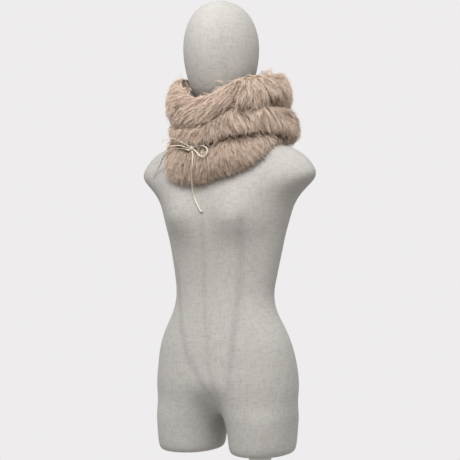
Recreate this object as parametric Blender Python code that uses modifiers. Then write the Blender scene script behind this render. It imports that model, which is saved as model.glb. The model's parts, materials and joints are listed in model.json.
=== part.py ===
"""Fur collar wrap tied with a lace drawstring, on an armless dress form with a plain egg head.

Metres, +Z up. The figure faces -Y and its left side is +X. The origin is under the middle of the
base, where the stand rests. Heights in the tables are in millimetres above the top of the pole,
which enters the left thigh. Every angle is in degrees round the neck, from the front (0) towards
the figure's left (90).
"""
import math

import bmesh
import bpy
from mathutils import Vector
from mathutils.bvhtree import BVHTree

MM = 0.001

# Driving dimensions of the stand
BASE_RADIUS = 0.165
BASE_THICKNESS = 0.012
BASE_ROUNDING = 0.003
SOCKET_RADIUS = 0.021
SOCKET_HEIGHT = 0.028
POLE_RADIUS = 0.0125
POLE_X = 0.078
POLE_VISIBLE = 0.085
COLLAR_RADIUS = 0.0235
SEAT_GAP = 0.0003
FORM_LIFT = BASE_THICKNESS + POLE_VISIBLE

# Driving dimensions of the dress form, in the tables' millimetres
SEAM_Z = 118.0
THIGH_CUT_Z = 13.0
NECK_CUT_Z = 704.0
HEAD_TOP_Z = 955.0
TORSO_STEPS = 48
THIGH_STEPS = 30
HEAD_STEPS = 36
BUST_HEIGHT = 503.0
BUST_SPREAD = 66.0
BUST_DEPTH = 20.0
BUST_WIDTH = 44.0
BUST_BELOW = 0.85
BUST_ABOVE = 1.35
BUST_FADE = 40.0
FORK_TOP = 160.0
FORK_DEPTH = 50.0
FORK_WIDTH = 33.0
FORK_POWER = 2.2
THIGH_POWER = 2.2
THIGH_SEAM_X = 0.15
THIGH_REACH = 300.0
HALVINGS = 30

# Driving dimensions of the wrap
WRAP_CENTRE_Y = -8.0
WRAP_STEPS = 72
WRAP_SIDE_POINTS = 7
SEAM_GAP = 0.4
SEAM_SLOPE = 0.22
FORM_GAP = 0.8
STRETCH_GAP = 2.0
ROLL_POWER = 2.15
OUTER_SHARE = 1.25
INNER_SHARE = 0.5
YOKE_LOFT = 6.0
GATHERS = 15
GATHER_DEPTH = 1.8
YOKE_GATHER = 1.44
GATHER_FADE = 0.35
UPPER_BULGE = 0.46
YOKE_TUCK = 8.0
YOKE_ROOT = 0.16
YOKE_RISE = 0.62
YOKE_CREST = 0.55
YOKE_FALL = 0.47
YOKE_LEAST = 3.0

# Driving dimensions of the lace
LACE_RADIUS = 0.0017
LACE_STEP = 0.0042
KNOT_SIZE = (0.0055, 0.0046, 0.0052)

FORM_COLUMNS = ("z", "half_width", "front", "back", "centre_y", "power")
TORSO_SECTIONS = (
    (118.0, 154.5, 101.0, 107.0, 0.0, 2.25),
    (162.0, 155.5, 102.0, 111.0, 0.0, 2.25),
    (200.0, 152.5, 97.0, 108.0, -2.0, 2.2),
    (235.0, 147.0, 91.0, 97.0, -5.0, 2.15),
    (269.0, 135.0, 84.0, 89.0, -7.0, 2.1),
    (298.0, 119.0, 77.0, 84.0, -9.5, 2.1),
    (325.0, 109.5, 72.0, 82.0, -11.0, 2.1),
    (350.0, 108.0, 71.0, 81.0, -10.0, 2.1),
    (388.0, 114.0, 76.0, 82.0, -6.0, 2.1),
    (430.0, 122.0, 84.0, 86.0, -3.0, 2.1),
    (466.0, 129.0, 92.0, 90.0, -1.0, 2.1),
    (504.0, 140.0, 96.0, 93.0, 0.0, 2.1),
    (533.0, 151.0, 95.0, 94.0, 0.0, 2.1),
    (558.0, 170.0, 92.0, 93.0, 1.0, 2.1),
    (577.0, 192.0, 87.0, 91.0, 2.0, 2.1),
    (592.0, 200.0, 82.0, 88.0, 3.0, 2.15),
    (605.0, 197.0, 77.5, 84.0, 3.0, 2.15),
    (617.0, 189.0, 73.0, 80.0, 3.0, 2.1),
    (630.0, 177.0, 68.5, 75.0, 2.0, 2.1),
    (640.0, 163.0, 65.5, 71.0, 2.0, 2.05),
    (649.0, 142.0, 63.0, 67.0, 1.0, 2.0),
    (657.0, 118.0, 61.0, 63.0, 0.0, 2.0),
    (666.0, 93.0, 59.0, 60.0, -1.0, 2.0),
    (678.0, 73.0, 57.0, 57.0, -2.0, 2.0),
    (692.0, 61.0, 55.0, 55.0, -3.0, 2.0),
    (704.0, 57.0, 54.0, 54.0, -4.0, 2.0),
)
HEAD_SECTIONS = (
    (704.0, 57.0, 54.0, 54.0, -4.0, 2.0),
    (725.0, 54.5, 54.0, 53.0, -8.0, 2.0),
    (738.0, 54.5, 57.0, 54.0, -12.0, 2.0),
    (749.0, 56.5, 64.0, 57.0, -16.0, 2.0),
    (763.0, 60.5, 72.0, 63.0, -19.0, 2.0),
    (790.0, 67.5, 81.0, 75.0, -23.0, 2.0),
    (818.0, 73.0, 87.5, 86.0, -25.0, 2.0),
    (847.0, 75.5, 91.5, 92.0, -25.0, 2.0),
    (876.0, 74.0, 90.0, 92.0, -25.0, 2.0),
    (903.0, 67.0, 82.0, 84.0, -25.0, 2.0),
    (925.0, 56.0, 68.0, 70.0, -25.0, 2.0),
    (941.0, 40.0, 49.0, 50.0, -25.0, 2.0),
    (950.0, 24.0, 29.0, 30.0, -25.0, 2.0),
    (955.0, 6.0, 7.5, 7.5, -25.0, 2.0),
)
THIGH_COLUMNS = ("z", "half_width", "front", "back", "centre_x", "joined")
THIGH_SECTIONS = (
    (13.0, 54.0, 72.0, 76.0, 83.5, 0.0),
    (17.0, 60.0, 79.0, 84.0, 83.5, 0.0),
    (26.0, 63.5, 83.0, 88.0, 83.5, 0.0),
    (52.0, 65.5, 86.0, 92.0, 83.5, 0.02),
    (72.0, 67.5, 88.0, 95.0, 82.8, 0.08),
    (88.0, 70.5, 90.0, 98.0, 81.3, 0.24),
    (100.0, 73.5, 92.0, 100.0, 79.6, 0.55),
    (110.0, 75.5, 92.5, 100.0, 78.3, 0.87),
    (117.7, 77.0, 93.0, 100.0, 77.5, 1.0),
)

RIM_COLUMNS = ("angle", "z", "radius")
RIM = (
    (-180.0, 804.0, 88.0),
    (-120.0, 800.0, 87.0),
    (-62.0, 796.0, 89.0),
    (-45.0, 783.0, 90.0),
    (-29.0, 765.0, 92.0),
    (-12.0, 751.0, 95.0),
    (2.0, 751.0, 96.0),
    (16.0, 760.0, 95.0),
    (29.0, 773.0, 92.0),
    (43.0, 786.0, 89.0),
    (60.0, 794.0, 90.0),
    (90.0, 801.0, 94.0),
    (118.0, 805.0, 100.0),
    (150.0, 805.0, 95.0),
)
CREASE_COLUMNS = ("angle", "z", "radius")
CREASE = (
    (-180.0, 716.0, 110.0),
    (-135.0, 714.0, 108.0),
    (-90.0, 708.0, 103.0),
    (-62.0, 702.0, 100.0),
    (-33.0, 691.0, 104.0),
    (-4.0, 687.0, 108.0),
    (13.0, 697.0, 109.0),
    (24.0, 714.0, 109.0),
    (32.0, 727.0, 109.0),
    (43.0, 718.0, 107.0),
    (57.0, 726.0, 111.0),
    (72.0, 733.0, 112.0),
    (100.0, 731.0, 118.0),
    (118.0, 730.0, 119.0),
    (150.0, 721.0, 115.0),
)
ROLL_COLUMNS = ("angle", "upper_radius", "upper_half", "middle_radius", "middle_half")
ROLLS = (
    (-180.0, 131.0, 16.0, 134.0, 15.0),
    (-135.0, 128.0, 15.0, 128.0, 14.0),
    (-90.0, 123.0, 14.0, 117.0, 12.0),
    (-62.0, 120.0, 14.0, 112.0, 12.0),
    (-30.0, 123.0, 14.0, 119.0, 13.0),
    (0.0, 127.0, 15.0, 125.0, 14.0),
    (28.0, 130.0, 16.0, 130.0, 15.0),
    (60.0, 133.0, 17.0, 137.0, 17.0),
    (90.0, 136.0, 18.0, 148.0, 20.0),
    (118.0, 137.0, 18.0, 152.0, 21.0),
    (150.0, 134.0, 17.0, 144.0, 18.0),
)
STRING_COLUMNS = ("angle", "z", "radius", "hang_out", "hang_down")
STRING = (
    (-180.0, 682.0, 92.0, 3.0, 0.0),
    (-135.0, 678.0, 94.0, 2.0, 0.0),
    (-90.0, 678.0, 97.0, 0.0, 0.0),
    (-62.0, 666.0, 99.0, 0.0, 0.0),
    (-30.0, 652.0, 105.0, 0.0, 0.0),
    (-6.0, 645.0, 108.0, 0.0, 0.0),
    (12.0, 651.0, 108.0, 0.0, 0.0),
    (28.0, 661.0, 108.0, 0.0, 0.0),
    (45.0, 668.0, 107.0, 3.0, 0.0),
    (60.0, 674.0, 105.0, 9.0, 2.0),
    (90.0, 679.0, 98.0, 34.0, 10.0),
    (118.0, 682.0, 97.0, 42.0, 25.0),
    (150.0, 683.0, 93.0, 16.0, 7.0),
)
HEM_COLUMNS = ("angle", "z", "radius", "pile")
HEM = (
    (-180.0, 622.0, 84.0, 14.0),
    (-150.0, 622.0, 96.0, 14.0),
    (-120.0, 636.0, 108.0, 11.0),
    (-90.0, 655.0, 109.0, 7.0),
    (-75.0, 649.0, 108.0, 7.0),
    (-63.0, 620.0, 110.0, 9.0),
    (-52.0, 588.0, 111.0, 12.0),
    (-31.0, 577.0, 98.0, 16.0),
    (-8.0, 576.0, 85.0, 17.0),
    (12.0, 587.0, 84.0, 17.0),
    (38.0, 599.0, 95.0, 17.0),
    (56.0, 615.0, 112.0, 16.0),
    (70.0, 640.0, 121.0, 12.0),
    (90.0, 656.0, 122.0, 7.0),
    (120.0, 640.0, 110.0, 8.0),
    (150.0, 622.0, 96.0, 13.0),
)
PIT_COLUMNS = ("angle", "place", "depth", "wide", "tall")
UPPER_PITS = (
    (43.0, 0.04, 9.0, 9.0, 0.16),
    (72.0, 0.05, 8.0, 10.0, 0.16),
    (101.0, 0.30, 4.0, 12.0, 0.20),
    (-50.0, 0.20, 4.0, 9.0, 0.16),
    (8.0, 0.62, 3.5, 12.0, 0.18),
    (-120.0, 0.35, 4.0, 16.0, 0.22),
    (170.0, 0.30, 5.0, 20.0, 0.20),
)
MIDDLE_PITS = (
    (20.0, 0.55, 3.0, 10.0, 0.22),
    (64.0, 0.45, 4.5, 11.0, 0.20),
    (92.0, 0.60, 6.0, 9.0, 0.22),
    (-100.0, 0.50, 3.5, 14.0, 0.24),
    (160.0, 0.50, 4.0, 18.0, 0.24),
)
YOKE_PITS = (
    (-40.0, 0.45, 3.0, 9.0, 0.30),
    (10.0, 0.50, 2.5, 9.0, 0.35),
    (48.0, 0.40, 3.0, 9.0, 0.30),
)

# Routes of the lace in metres, from the knot. Heights are above the cut of the thighs.
KNOT_PLACE = Vector((-0.0135, -0.1255, 0.6430))
LOOP_A_ROUTE = (
    (-0.0189, -0.1255, 0.6464),
    (-0.0235, -0.1260, 0.6490),
    (-0.0315, -0.1252, 0.6523),
    (-0.0438, -0.1213, 0.6582),
    (-0.0640, -0.1098, 0.6650),
    (-0.0833, -0.1000, 0.6655),
    (-0.0965, -0.0965, 0.6628),
    (-0.1011, -0.0967, 0.6575),
    (-0.0955, -0.0983, 0.6522),
    (-0.0823, -0.1022, 0.6500),
    (-0.0654, -0.1110, 0.6502),
    (-0.0437, -0.1205, 0.6492),
    (-0.0290, -0.1243, 0.6455),
    (-0.0196, -0.1240, 0.6424),
)
LOOP_B_ROUTE = (
    (-0.0082, -0.1260, 0.6456),
    (-0.0010, -0.1262, 0.6470),
    (0.0098, -0.1265, 0.6474),
    (0.0184, -0.1258, 0.6445),
    (0.0220, -0.1252, 0.6380),
    (0.0198, -0.1260, 0.6300),
    (0.0128, -0.1275, 0.6255),
    (0.0050, -0.1287, 0.6278),
    (-0.0010, -0.1284, 0.6346),
    (-0.0083, -0.1275, 0.6402),
)
END_A_ROUTE = (
    (-0.0184, -0.1266, 0.6384),
    (-0.0240, -0.1250, 0.6400),
    (-0.0362, -0.1199, 0.6428),
    (-0.0482, -0.1142, 0.6440),
    (-0.0612, -0.1084, 0.6444),
    (-0.0743, -0.1008, 0.6430),
    (-0.0860, -0.0930, 0.6407),
    (-0.0957, -0.0888, 0.6366),
    (-0.1040, -0.0845, 0.6304),
    (-0.1115, -0.0788, 0.6240),
    (-0.1190, -0.0724, 0.6160),
    (-0.1258, -0.0677, 0.6100),
    (-0.1316, -0.0647, 0.6035),
    (-0.1380, -0.0622, 0.5965),
    (-0.1435, -0.0606, 0.5890),
)
END_B_ROUTE = (
    (-0.0128, -0.1270, 0.6372),
    (-0.0112, -0.1274, 0.6325),
    (-0.0105, -0.1274, 0.6274),
    (-0.0112, -0.1276, 0.6200),
    (-0.0118, -0.1274, 0.6128),
    (-0.0138, -0.1250, 0.6003),
    (-0.0168, -0.1200, 0.5880),
    (-0.0198, -0.1146, 0.5739),
    (-0.0218, -0.1080, 0.5593),
    (-0.0213, -0.1022, 0.5445),
    (-0.0143, -0.1022, 0.5297),
    (-0.0071, -0.1022, 0.5172),
    (-0.0020, -0.1018, 0.5147),
)

COLOURS = {
    "fur": (0.42, 0.31, 0.24, 1.0),
    "lace": (0.66, 0.58, 0.47, 1.0),
    "linen": (0.52, 0.49, 0.44, 1.0),
    "metal": (0.55, 0.55, 0.54, 1.0),
}


def clear_scene():
    """Removes every object that the new file came with."""
    for thing in list(bpy.data.objects):
        bpy.data.objects.remove(thing, do_unlink=True)


def make_collection(name):
    """Returns a new collection that hangs under the scene."""
    collection = bpy.data.collections.new(name)
    bpy.context.scene.collection.children.link(collection)
    return collection


def make_material(name, colour, roughness, metallic=0.0):
    """Returns a plain material with one Principled shader."""
    material = bpy.data.materials.new(name)
    material.use_nodes = True
    shader = material.node_tree.nodes["Principled BSDF"]
    shader.inputs["Base Color"].default_value = colour
    shader.inputs["Roughness"].default_value = roughness
    shader.inputs["Metallic"].default_value = metallic
    return material


def hermite(before, start, end, after, x):
    """Cubic through start and end, with slopes from the neighbours. Each is (place, value)."""
    span = end[0] - start[0]
    t = (x - start[0]) / span
    slope_start = (end[1] - before[1]) / (end[0] - before[0]) * span
    slope_end = (after[1] - start[1]) / (after[0] - start[0]) * span
    rise = end[1] - start[1]
    return (
        start[1]
        + slope_start * t
        + (3.0 * rise - 2.0 * slope_start - slope_end) * t * t
        + (slope_start + slope_end - 2.0 * rise) * t * t * t
    )


def read_table(rows, column, x):
    """Value of a column at x, on a smooth curve through the rows. The first column is the place."""
    last = len(rows) - 1
    x = min(max(x, rows[0][0]), rows[last][0])
    i = 0
    while i < last - 1 and x > rows[i + 1][0]:
        i += 1
    start = (rows[i][0], rows[i][column])
    end = (rows[i + 1][0], rows[i + 1][column])
    before = (rows[i - 1][0], rows[i - 1][column]) if i else start
    after = (rows[i + 2][0], rows[i + 2][column]) if i + 2 <= last else end
    return hermite(before, start, end, after, x)


def read_named(rows, columns, x):
    """Values by column name at x, on smooth curves through the rows."""
    return {name: read_table(rows, i, x) for i, name in enumerate(columns) if i}


def read_ring(rows, columns, angle):
    """Values by name at an angle, on smooth curves that close round the neck."""
    turn = 360.0
    angle = (angle + 180.0) % turn - 180.0
    before_first = [(row[0] - turn,) + row[1:] for row in rows[-2:]]
    after_last = [(row[0] + turn,) + row[1:] for row in rows[:2]]
    closed = tuple(before_first) + tuple(rows) + tuple(after_last)
    return read_named(closed, columns, angle)


def superellipse(t, half_width, front, back, power):
    """Point on a section with unlike front and back, t from the front towards +X."""
    side = math.sin(t)
    ahead = math.cos(t)
    depth = front if ahead > 0.0 else back
    x = half_width * math.copysign(abs(side) ** (2.0 / power), side)
    y = -depth * math.copysign(abs(ahead) ** (2.0 / power), ahead)
    return x, y


def bust(x, z):
    """How far the bust stands out in front at a place, in millimetres."""
    near = (abs(x) - BUST_SPREAD) / BUST_WIDTH
    high = (z - BUST_HEIGHT) / (BUST_WIDTH * (BUST_BELOW if z < BUST_HEIGHT else BUST_ABOVE))
    return BUST_DEPTH * math.exp(-near * near - high * high)


def fork(x, z):
    """How far the form draws in at its middle, front and back, above the gap of the thighs."""
    share = min(1.0, max(0.0, (FORK_TOP - z) / (FORK_TOP - SEAM_Z)))
    return FORK_DEPTH * share ** FORK_POWER * math.exp(-((x / FORK_WIDTH) ** 2))


def form_ring(rows, z, steps):
    """One level ring of the dress form."""
    body = read_named(rows, FORM_COLUMNS, z)
    ring = []
    for k in range(steps):
        t = 2.0 * math.pi * k / steps
        x, y = superellipse(t, body["half_width"], body["front"], body["back"], body["power"])
        if y < 0.0:
            y -= bust(x, z) * min(1.0, -y / BUST_FADE)
        y -= math.copysign(min(abs(y), fork(x, z)), y)
        ring.append(Vector((x, y + body["centre_y"], z)) * MM)
    return ring


def spaced(start, end, count):
    """Count values from start to end."""
    return [start + (end - start) * i / (count - 1) for i in range(count)]


def hip_reach(centre_x, dx, dy):
    """How far the hip section's half reaches from a thigh's centre in a direction."""
    hip = dict(zip(FORM_COLUMNS, TORSO_SECTIONS[0]))
    depth = hip["front"] if dy < 0.0 else hip["back"]
    low = 0.0
    high = THIGH_REACH
    for _ in range(HALVINGS):
        trial = 0.5 * (low + high)
        x = centre_x + dx * trial
        across = min(1.0, abs(x / hip["half_width"])) ** hip["power"]
        edge = depth * (1.0 - across) ** (1.0 / hip["power"]) - fork(x, SEAM_Z)
        inside = abs(dy * trial) < edge and x > THIGH_SEAM_X
        low, high = (trial, high) if inside else (low, trial)
    return low


def thigh_ring(z, side):
    """One level ring of a thigh stub. Its top is half of the hip section, cut at the middle."""
    thigh = read_named(THIGH_SECTIONS, THIGH_COLUMNS, z)
    ring = []
    for k in range(THIGH_STEPS):
        t = 2.0 * math.pi * k / THIGH_STEPS
        x, y = superellipse(t, thigh["half_width"], thigh["front"], thigh["back"], THIGH_POWER)
        reach = math.hypot(x, y)
        dx = x / reach
        dy = y / reach
        to_hip = hip_reach(thigh["centre_x"], dx, dy)
        length = reach * (1.0 - thigh["joined"]) + to_hip * thigh["joined"]
        ring.append(Vector((side * (thigh["centre_x"] + dx * length), dy * length, z)) * MM)
    return ring


def mesh_from_rings(name, rings, closed):
    """Quads between rings of equal count. A closed run joins its last ring to its first."""
    mesh = bmesh.new()
    rows = [[mesh.verts.new(p) for p in ring] for ring in rings]
    count = len(rings[0])
    pairs = list(zip(rows, rows[1:]))
    if closed:
        pairs.append((rows[-1], rows[0]))
    for lower, upper in pairs:
        for k in range(count):
            after = (k + 1) % count
            mesh.faces.new((lower[k], lower[after], upper[after], upper[k]))
    if not closed:
        mesh.faces.new(rows[0])
        mesh.faces.new(rows[-1])
    bmesh.ops.recalc_face_normals(mesh, faces=mesh.faces)
    data = bpy.data.meshes.new(name)
    mesh.to_mesh(data)
    mesh.free()
    return data


def add_object(name, data, material, collection, origin):
    """Places a mesh or curve at the form's origin, smooth, with its material."""
    thing = bpy.data.objects.new(name, data)
    data.materials.append(material)
    collection.objects.link(thing)
    thing.parent = origin
    if isinstance(data, bpy.types.Mesh):
        data.shade_smooth()
        data.set_sharp_from_angle(angle=math.radians(40.0))
    return thing


def form_levels():
    """Heights of the torso's rings, close together over the shoulders."""
    hips = spaced(SEAM_Z, 500.0, 20)
    chest = spaced(500.0, 580.0, 7)[1:]
    shoulders = spaced(580.0, 700.0, 19)[1:]
    return hips + chest + shoulders + [NECK_CUT_Z]


def head_levels():
    """Heights of the head's rings, closer towards the crown."""
    face = spaced(NECK_CUT_Z + 0.3, 900.0, 14)
    crown = [900.0 + (HEAD_TOP_Z - 900.0) * math.sin(math.pi / 2.0 * i / 7.0) for i in range(1, 8)]
    return face + crown


def build_form(collection, origin, linen):
    """Torso, thigh stubs and head. Returns a search tree of their surface."""
    thigh_levels = (THIGH_CUT_Z, 14.2, 17.0, 26.0, 44.0, 62.0, 76.0, 86.0, 94.0, 102.0, 110.0, 117.7)
    parts = {
        "form_torso": [form_ring(TORSO_SECTIONS, z, TORSO_STEPS) for z in form_levels()],
        "form_head": [form_ring(HEAD_SECTIONS, z, HEAD_STEPS) for z in head_levels()],
        "form_thigh_left": [thigh_ring(z, 1.0) for z in thigh_levels],
        "form_thigh_right": [thigh_ring(z, -1.0) for z in thigh_levels],
    }
    meshes = []
    for name, rings in parts.items():
        data = mesh_from_rings(name, rings, closed=False)
        add_object(name, data, linen, collection, origin)
        meshes.append(data)
    return surface_tree(meshes)


def wrap_point(angle, radius, z):
    """Place in metres from an angle round the neck, a radius and a height in millimetres."""
    a = math.radians(angle)
    return Vector((radius * math.sin(a), WRAP_CENTRE_Y - radius * math.cos(a), z)) * MM


def clear_of(point, surfaces):
    """Moves a point out of each surface that it lies in. A surface is its tree and its gap."""
    for tree, gap in surfaces:
        place, normal, _, _ = tree.find_nearest(point)
        if (point - place).dot(normal) < gap * MM:
            point = place + normal * gap * MM
    return point


def surface_tree(meshes):
    """Search tree of the four sided faces of some meshes."""
    points = []
    faces = []
    for data in meshes:
        start = len(points)
        points += [v.co.copy() for v in data.vertices]
        sides = [face for face in data.polygons if len(face.vertices) == 4]
        faces += [[start + k for k in face.vertices] for face in sides]
    return BVHTree.FromPolygons(points, faces)


def through_three(low, mid, high, s):
    """Point and direction on the curve through three (radius, z) points, s from 0 to 1."""
    weights = ((2.0 * s - 1.0) * (s - 1.0), 4.0 * s * (1.0 - s), s * (2.0 * s - 1.0))
    slopes = (4.0 * s - 3.0, 4.0 - 8.0 * s, 4.0 * s - 1.0)
    ends = (low, mid, high)
    place = tuple(sum(w * p[i] for w, p in zip(weights, ends)) for i in range(2))
    along = tuple(sum(w * p[i] for w, p in zip(slopes, ends)) for i in range(2))
    return place, along


def pit_depth(pits, angle, s):
    """Depth of the hand placed hollows at a place of a stretch."""
    depth = 0.0
    for row in pits:
        pit = dict(zip(PIT_COLUMNS, row))
        turn = (angle - pit["angle"] + 180.0) % 360.0 - 180.0
        near = (turn / pit["wide"]) ** 2 + ((s - pit["place"]) / pit["tall"]) ** 2
        depth += pit["depth"] * math.exp(-near)
    return depth


def gather_wave(angle):
    """Uneven wave of the gathers that the drawstring draws up, from -1 to 1."""
    a = math.radians(angle)
    return math.sin(GATHERS * a + 1.3 * math.sin(3.0 * a) + 0.9 * math.sin(2.0 * a + 1.0))


def between_seams(radius, z, low, high):
    """Keeps a point between two V shaped creases, whose bottoms are low and high."""
    floor = low[1] + SEAM_SLOPE * abs(radius - low[0])
    roof = high[1] - SEAM_SLOPE * abs(radius - high[0])
    return radius, min(max(z, floor), max(roof, floor + 1.0))


def roll_section(angle, low, mid, high, half, pits, gathered_end, surfaces):
    """Closed section of a fur roll: outer side upwards, inner side down."""
    outer = []
    inner = []
    for j in range(WRAP_SIDE_POINTS + 1):
        s = 0.5 - 0.5 * math.cos(math.pi * j / WRAP_SIDE_POINTS)
        place, along = through_three(low, mid, high, s)
        size = math.hypot(along[0], along[1])
        out = (along[1] / size, -along[0] / size)
        fullness = max(0.0, 1.0 - abs(2.0 * s - 1.0) ** ROLL_POWER) ** (1.0 / ROLL_POWER)
        gather = GATHER_DEPTH * gather_wave(angle) * math.exp(-(((s - gathered_end) / 0.3) ** 2))
        relief = (gather - pit_depth(pits, angle, s)) * min(1.0, 2.0 * fullness)
        thick_out = max(OUTER_SHARE * half * fullness + relief, 0.0)
        thick_in = INNER_SHARE * half * fullness
        outer.append((place[0] + out[0] * thick_out, place[1] + out[1] * thick_out))
        inner.append((place[0] - out[0] * thick_in, place[1] - out[1] * thick_in))
    loop = [between_seams(r, z, low, high) for r, z in outer + inner[-2:0:-1]]
    return [clear_of(wrap_point(angle, r, z), surfaces) for r, z in loop]


def upper_section(angle, surfaces):
    """Section of the stretch between the rim and the crease."""
    rim = read_ring(RIM, RIM_COLUMNS, angle)
    crease = read_ring(CREASE, CREASE_COLUMNS, angle)
    roll = read_ring(ROLLS, ROLL_COLUMNS, angle)
    low = (crease["radius"], crease["z"] + SEAM_GAP / 2.0)
    high = (rim["radius"], rim["z"])
    bulge = crease["z"] + UPPER_BULGE * (rim["z"] - crease["z"])
    mid = (roll["upper_radius"] - OUTER_SHARE * roll["upper_half"], bulge)
    return roll_section(angle, low, mid, high, roll["upper_half"], UPPER_PITS, -1.0, surfaces)


def middle_section(angle, surfaces):
    """Section of the stretch between the crease and the drawstring."""
    crease = read_ring(CREASE, CREASE_COLUMNS, angle)
    string = read_ring(STRING, STRING_COLUMNS, angle)
    roll = read_ring(ROLLS, ROLL_COLUMNS, angle)
    low = (string["radius"] + string["hang_out"], string["z"] - string["hang_down"] + SEAM_GAP / 2.0)
    high = (crease["radius"], crease["z"] - SEAM_GAP / 2.0)
    mid = (roll["middle_radius"] - OUTER_SHARE * roll["middle_half"], 0.5 * (low[1] + high[1]))
    return roll_section(angle, low, mid, high, roll["middle_half"], MIDDLE_PITS, 0.0, surfaces)


def yoke_section(angle, surfaces):
    """Section of the yoke. Its inner side lies on the form, and its pile thins to the hem."""
    string = read_ring(STRING, STRING_COLUMNS, angle)
    hem = read_ring(HEM, HEM_COLUMNS, angle)
    start = (string["radius"] - YOKE_TUCK, string["z"] - SEAM_GAP / 2.0)
    end = (hem["radius"], hem["z"])
    mid = (0.5 * (start[0] + end[0]) + YOKE_LOFT, 0.5 * (start[1] + end[1]) + 0.5 * YOKE_LOFT)
    inner = []
    outer = []
    for j in range(WRAP_SIDE_POINTS + 1):
        s = 0.5 - 0.5 * math.cos(math.pi * j / WRAP_SIDE_POINTS)
        place, along = through_three(start, mid, end, s)
        size = math.hypot(along[0], along[1])
        out = (-along[1] / size, along[0] / size)
        resting = clear_of(wrap_point(angle, place[0], place[1]), surfaces)
        if j == WRAP_SIDE_POINTS:
            surface, normal, _, _ = surfaces[0][0].find_nearest(resting)
            resting = surface + normal * FORM_GAP * MM
        if s < YOKE_CREST:
            share = math.sin(math.pi * (YOKE_ROOT + YOKE_RISE * s))
        else:
            share = math.sqrt(max(0.0, 1.0 - ((s - YOKE_CREST) / YOKE_FALL) ** 2))
        gather = YOKE_GATHER * gather_wave(angle) * math.exp(-((s / GATHER_FADE) ** 2))
        thick = max(hem["pile"] * share + gather - pit_depth(YOKE_PITS, angle, s), YOKE_LEAST)
        a = math.radians(angle)
        lean = Vector((out[0] * math.sin(a), -out[0] * math.cos(a), out[1]))
        pile = resting + lean * thick * MM
        pile.z = min(pile.z, start[1] * MM)
        inner.append(resting)
        outer.append(pile)
    return outer + inner[::-1]


def build_wrap(collection, origin, fur, tree):
    """The three stretches of the fur tube, each clear of the form and of the one it lies on."""
    sections = {"fur_yoke": yoke_section, "fur_middle": middle_section, "fur_upper": upper_section}
    surfaces = [(tree, FORM_GAP)]
    for name, section in sections.items():
        rings = [section(-180.0 + 360.0 * k / WRAP_STEPS, surfaces) for k in range(WRAP_STEPS)]
        data = mesh_from_rings(name, rings, closed=True)
        add_object(name, data, fur, collection, origin)
        surfaces = [(tree, FORM_GAP), (surface_tree([data]), STRETCH_GAP)]


def smooth_route(points, step):
    """Evenly spaced points on a smooth curve through a route."""
    points = [Vector(p) for p in points]
    lengths = [0.0]
    for a, b in zip(points, points[1:]):
        lengths.append(lengths[-1] + (b - a).length)
    rows = [(place, *point) for place, point in zip(lengths, points)]
    count = max(4, round(lengths[-1] / step))
    return [
        Vector([read_table(rows, axis, lengths[-1] * i / count) for axis in (1, 2, 3)])
        for i in range(count + 1)
    ]


def build_lace(collection, origin, lace):
    """Two loops and two free ends of the bow, and the knot that holds them."""
    routes = {
        "lace_loop_right": LOOP_A_ROUTE,
        "lace_loop_left": LOOP_B_ROUTE,
        "lace_end_right": END_A_ROUTE,
        "lace_end_left": END_B_ROUTE,
    }
    for name, route in routes.items():
        curve = bpy.data.curves.new(name, "CURVE")
        curve.dimensions = "3D"
        curve.bevel_depth = LACE_RADIUS
        curve.bevel_resolution = 2
        curve.use_fill_caps = True
        points = smooth_route(route, LACE_STEP)
        spline = curve.splines.new("POLY")
        spline.points.add(len(points) - 1)
        for target, point in zip(spline.points, points):
            target.co = (*point, 1.0)
        add_object(name, curve, lace, collection, origin)
    knot = bmesh.new()
    bmesh.ops.create_uvsphere(knot, u_segments=14, v_segments=8, radius=1.0)
    bmesh.ops.scale(knot, vec=Vector(KNOT_SIZE), verts=knot.verts)
    bmesh.ops.translate(knot, vec=KNOT_PLACE, verts=knot.verts)
    data = bpy.data.meshes.new("lace_knot")
    knot.to_mesh(data)
    knot.free()
    add_object("lace_knot", data, lace, collection, origin)


def turned(name, profile, steps, material, collection, place):
    """A turned solid from a profile of (radius, height) that runs down its outer side."""
    data = bpy.data.meshes.new(name)
    points = [(r, 0.0, z) for r, z in profile]
    data.from_pydata(points, [(i, i + 1) for i in range(len(points) - 1)], [])
    data.materials.append(material)
    thing = bpy.data.objects.new(name, data)
    collection.objects.link(thing)
    thing.location = place
    screw = thing.modifiers.new("turn", "SCREW")
    screw.steps = steps
    screw.render_steps = steps
    screw.use_merge_vertices = True
    screw.merge_threshold = 0.00005
    return thing


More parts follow.
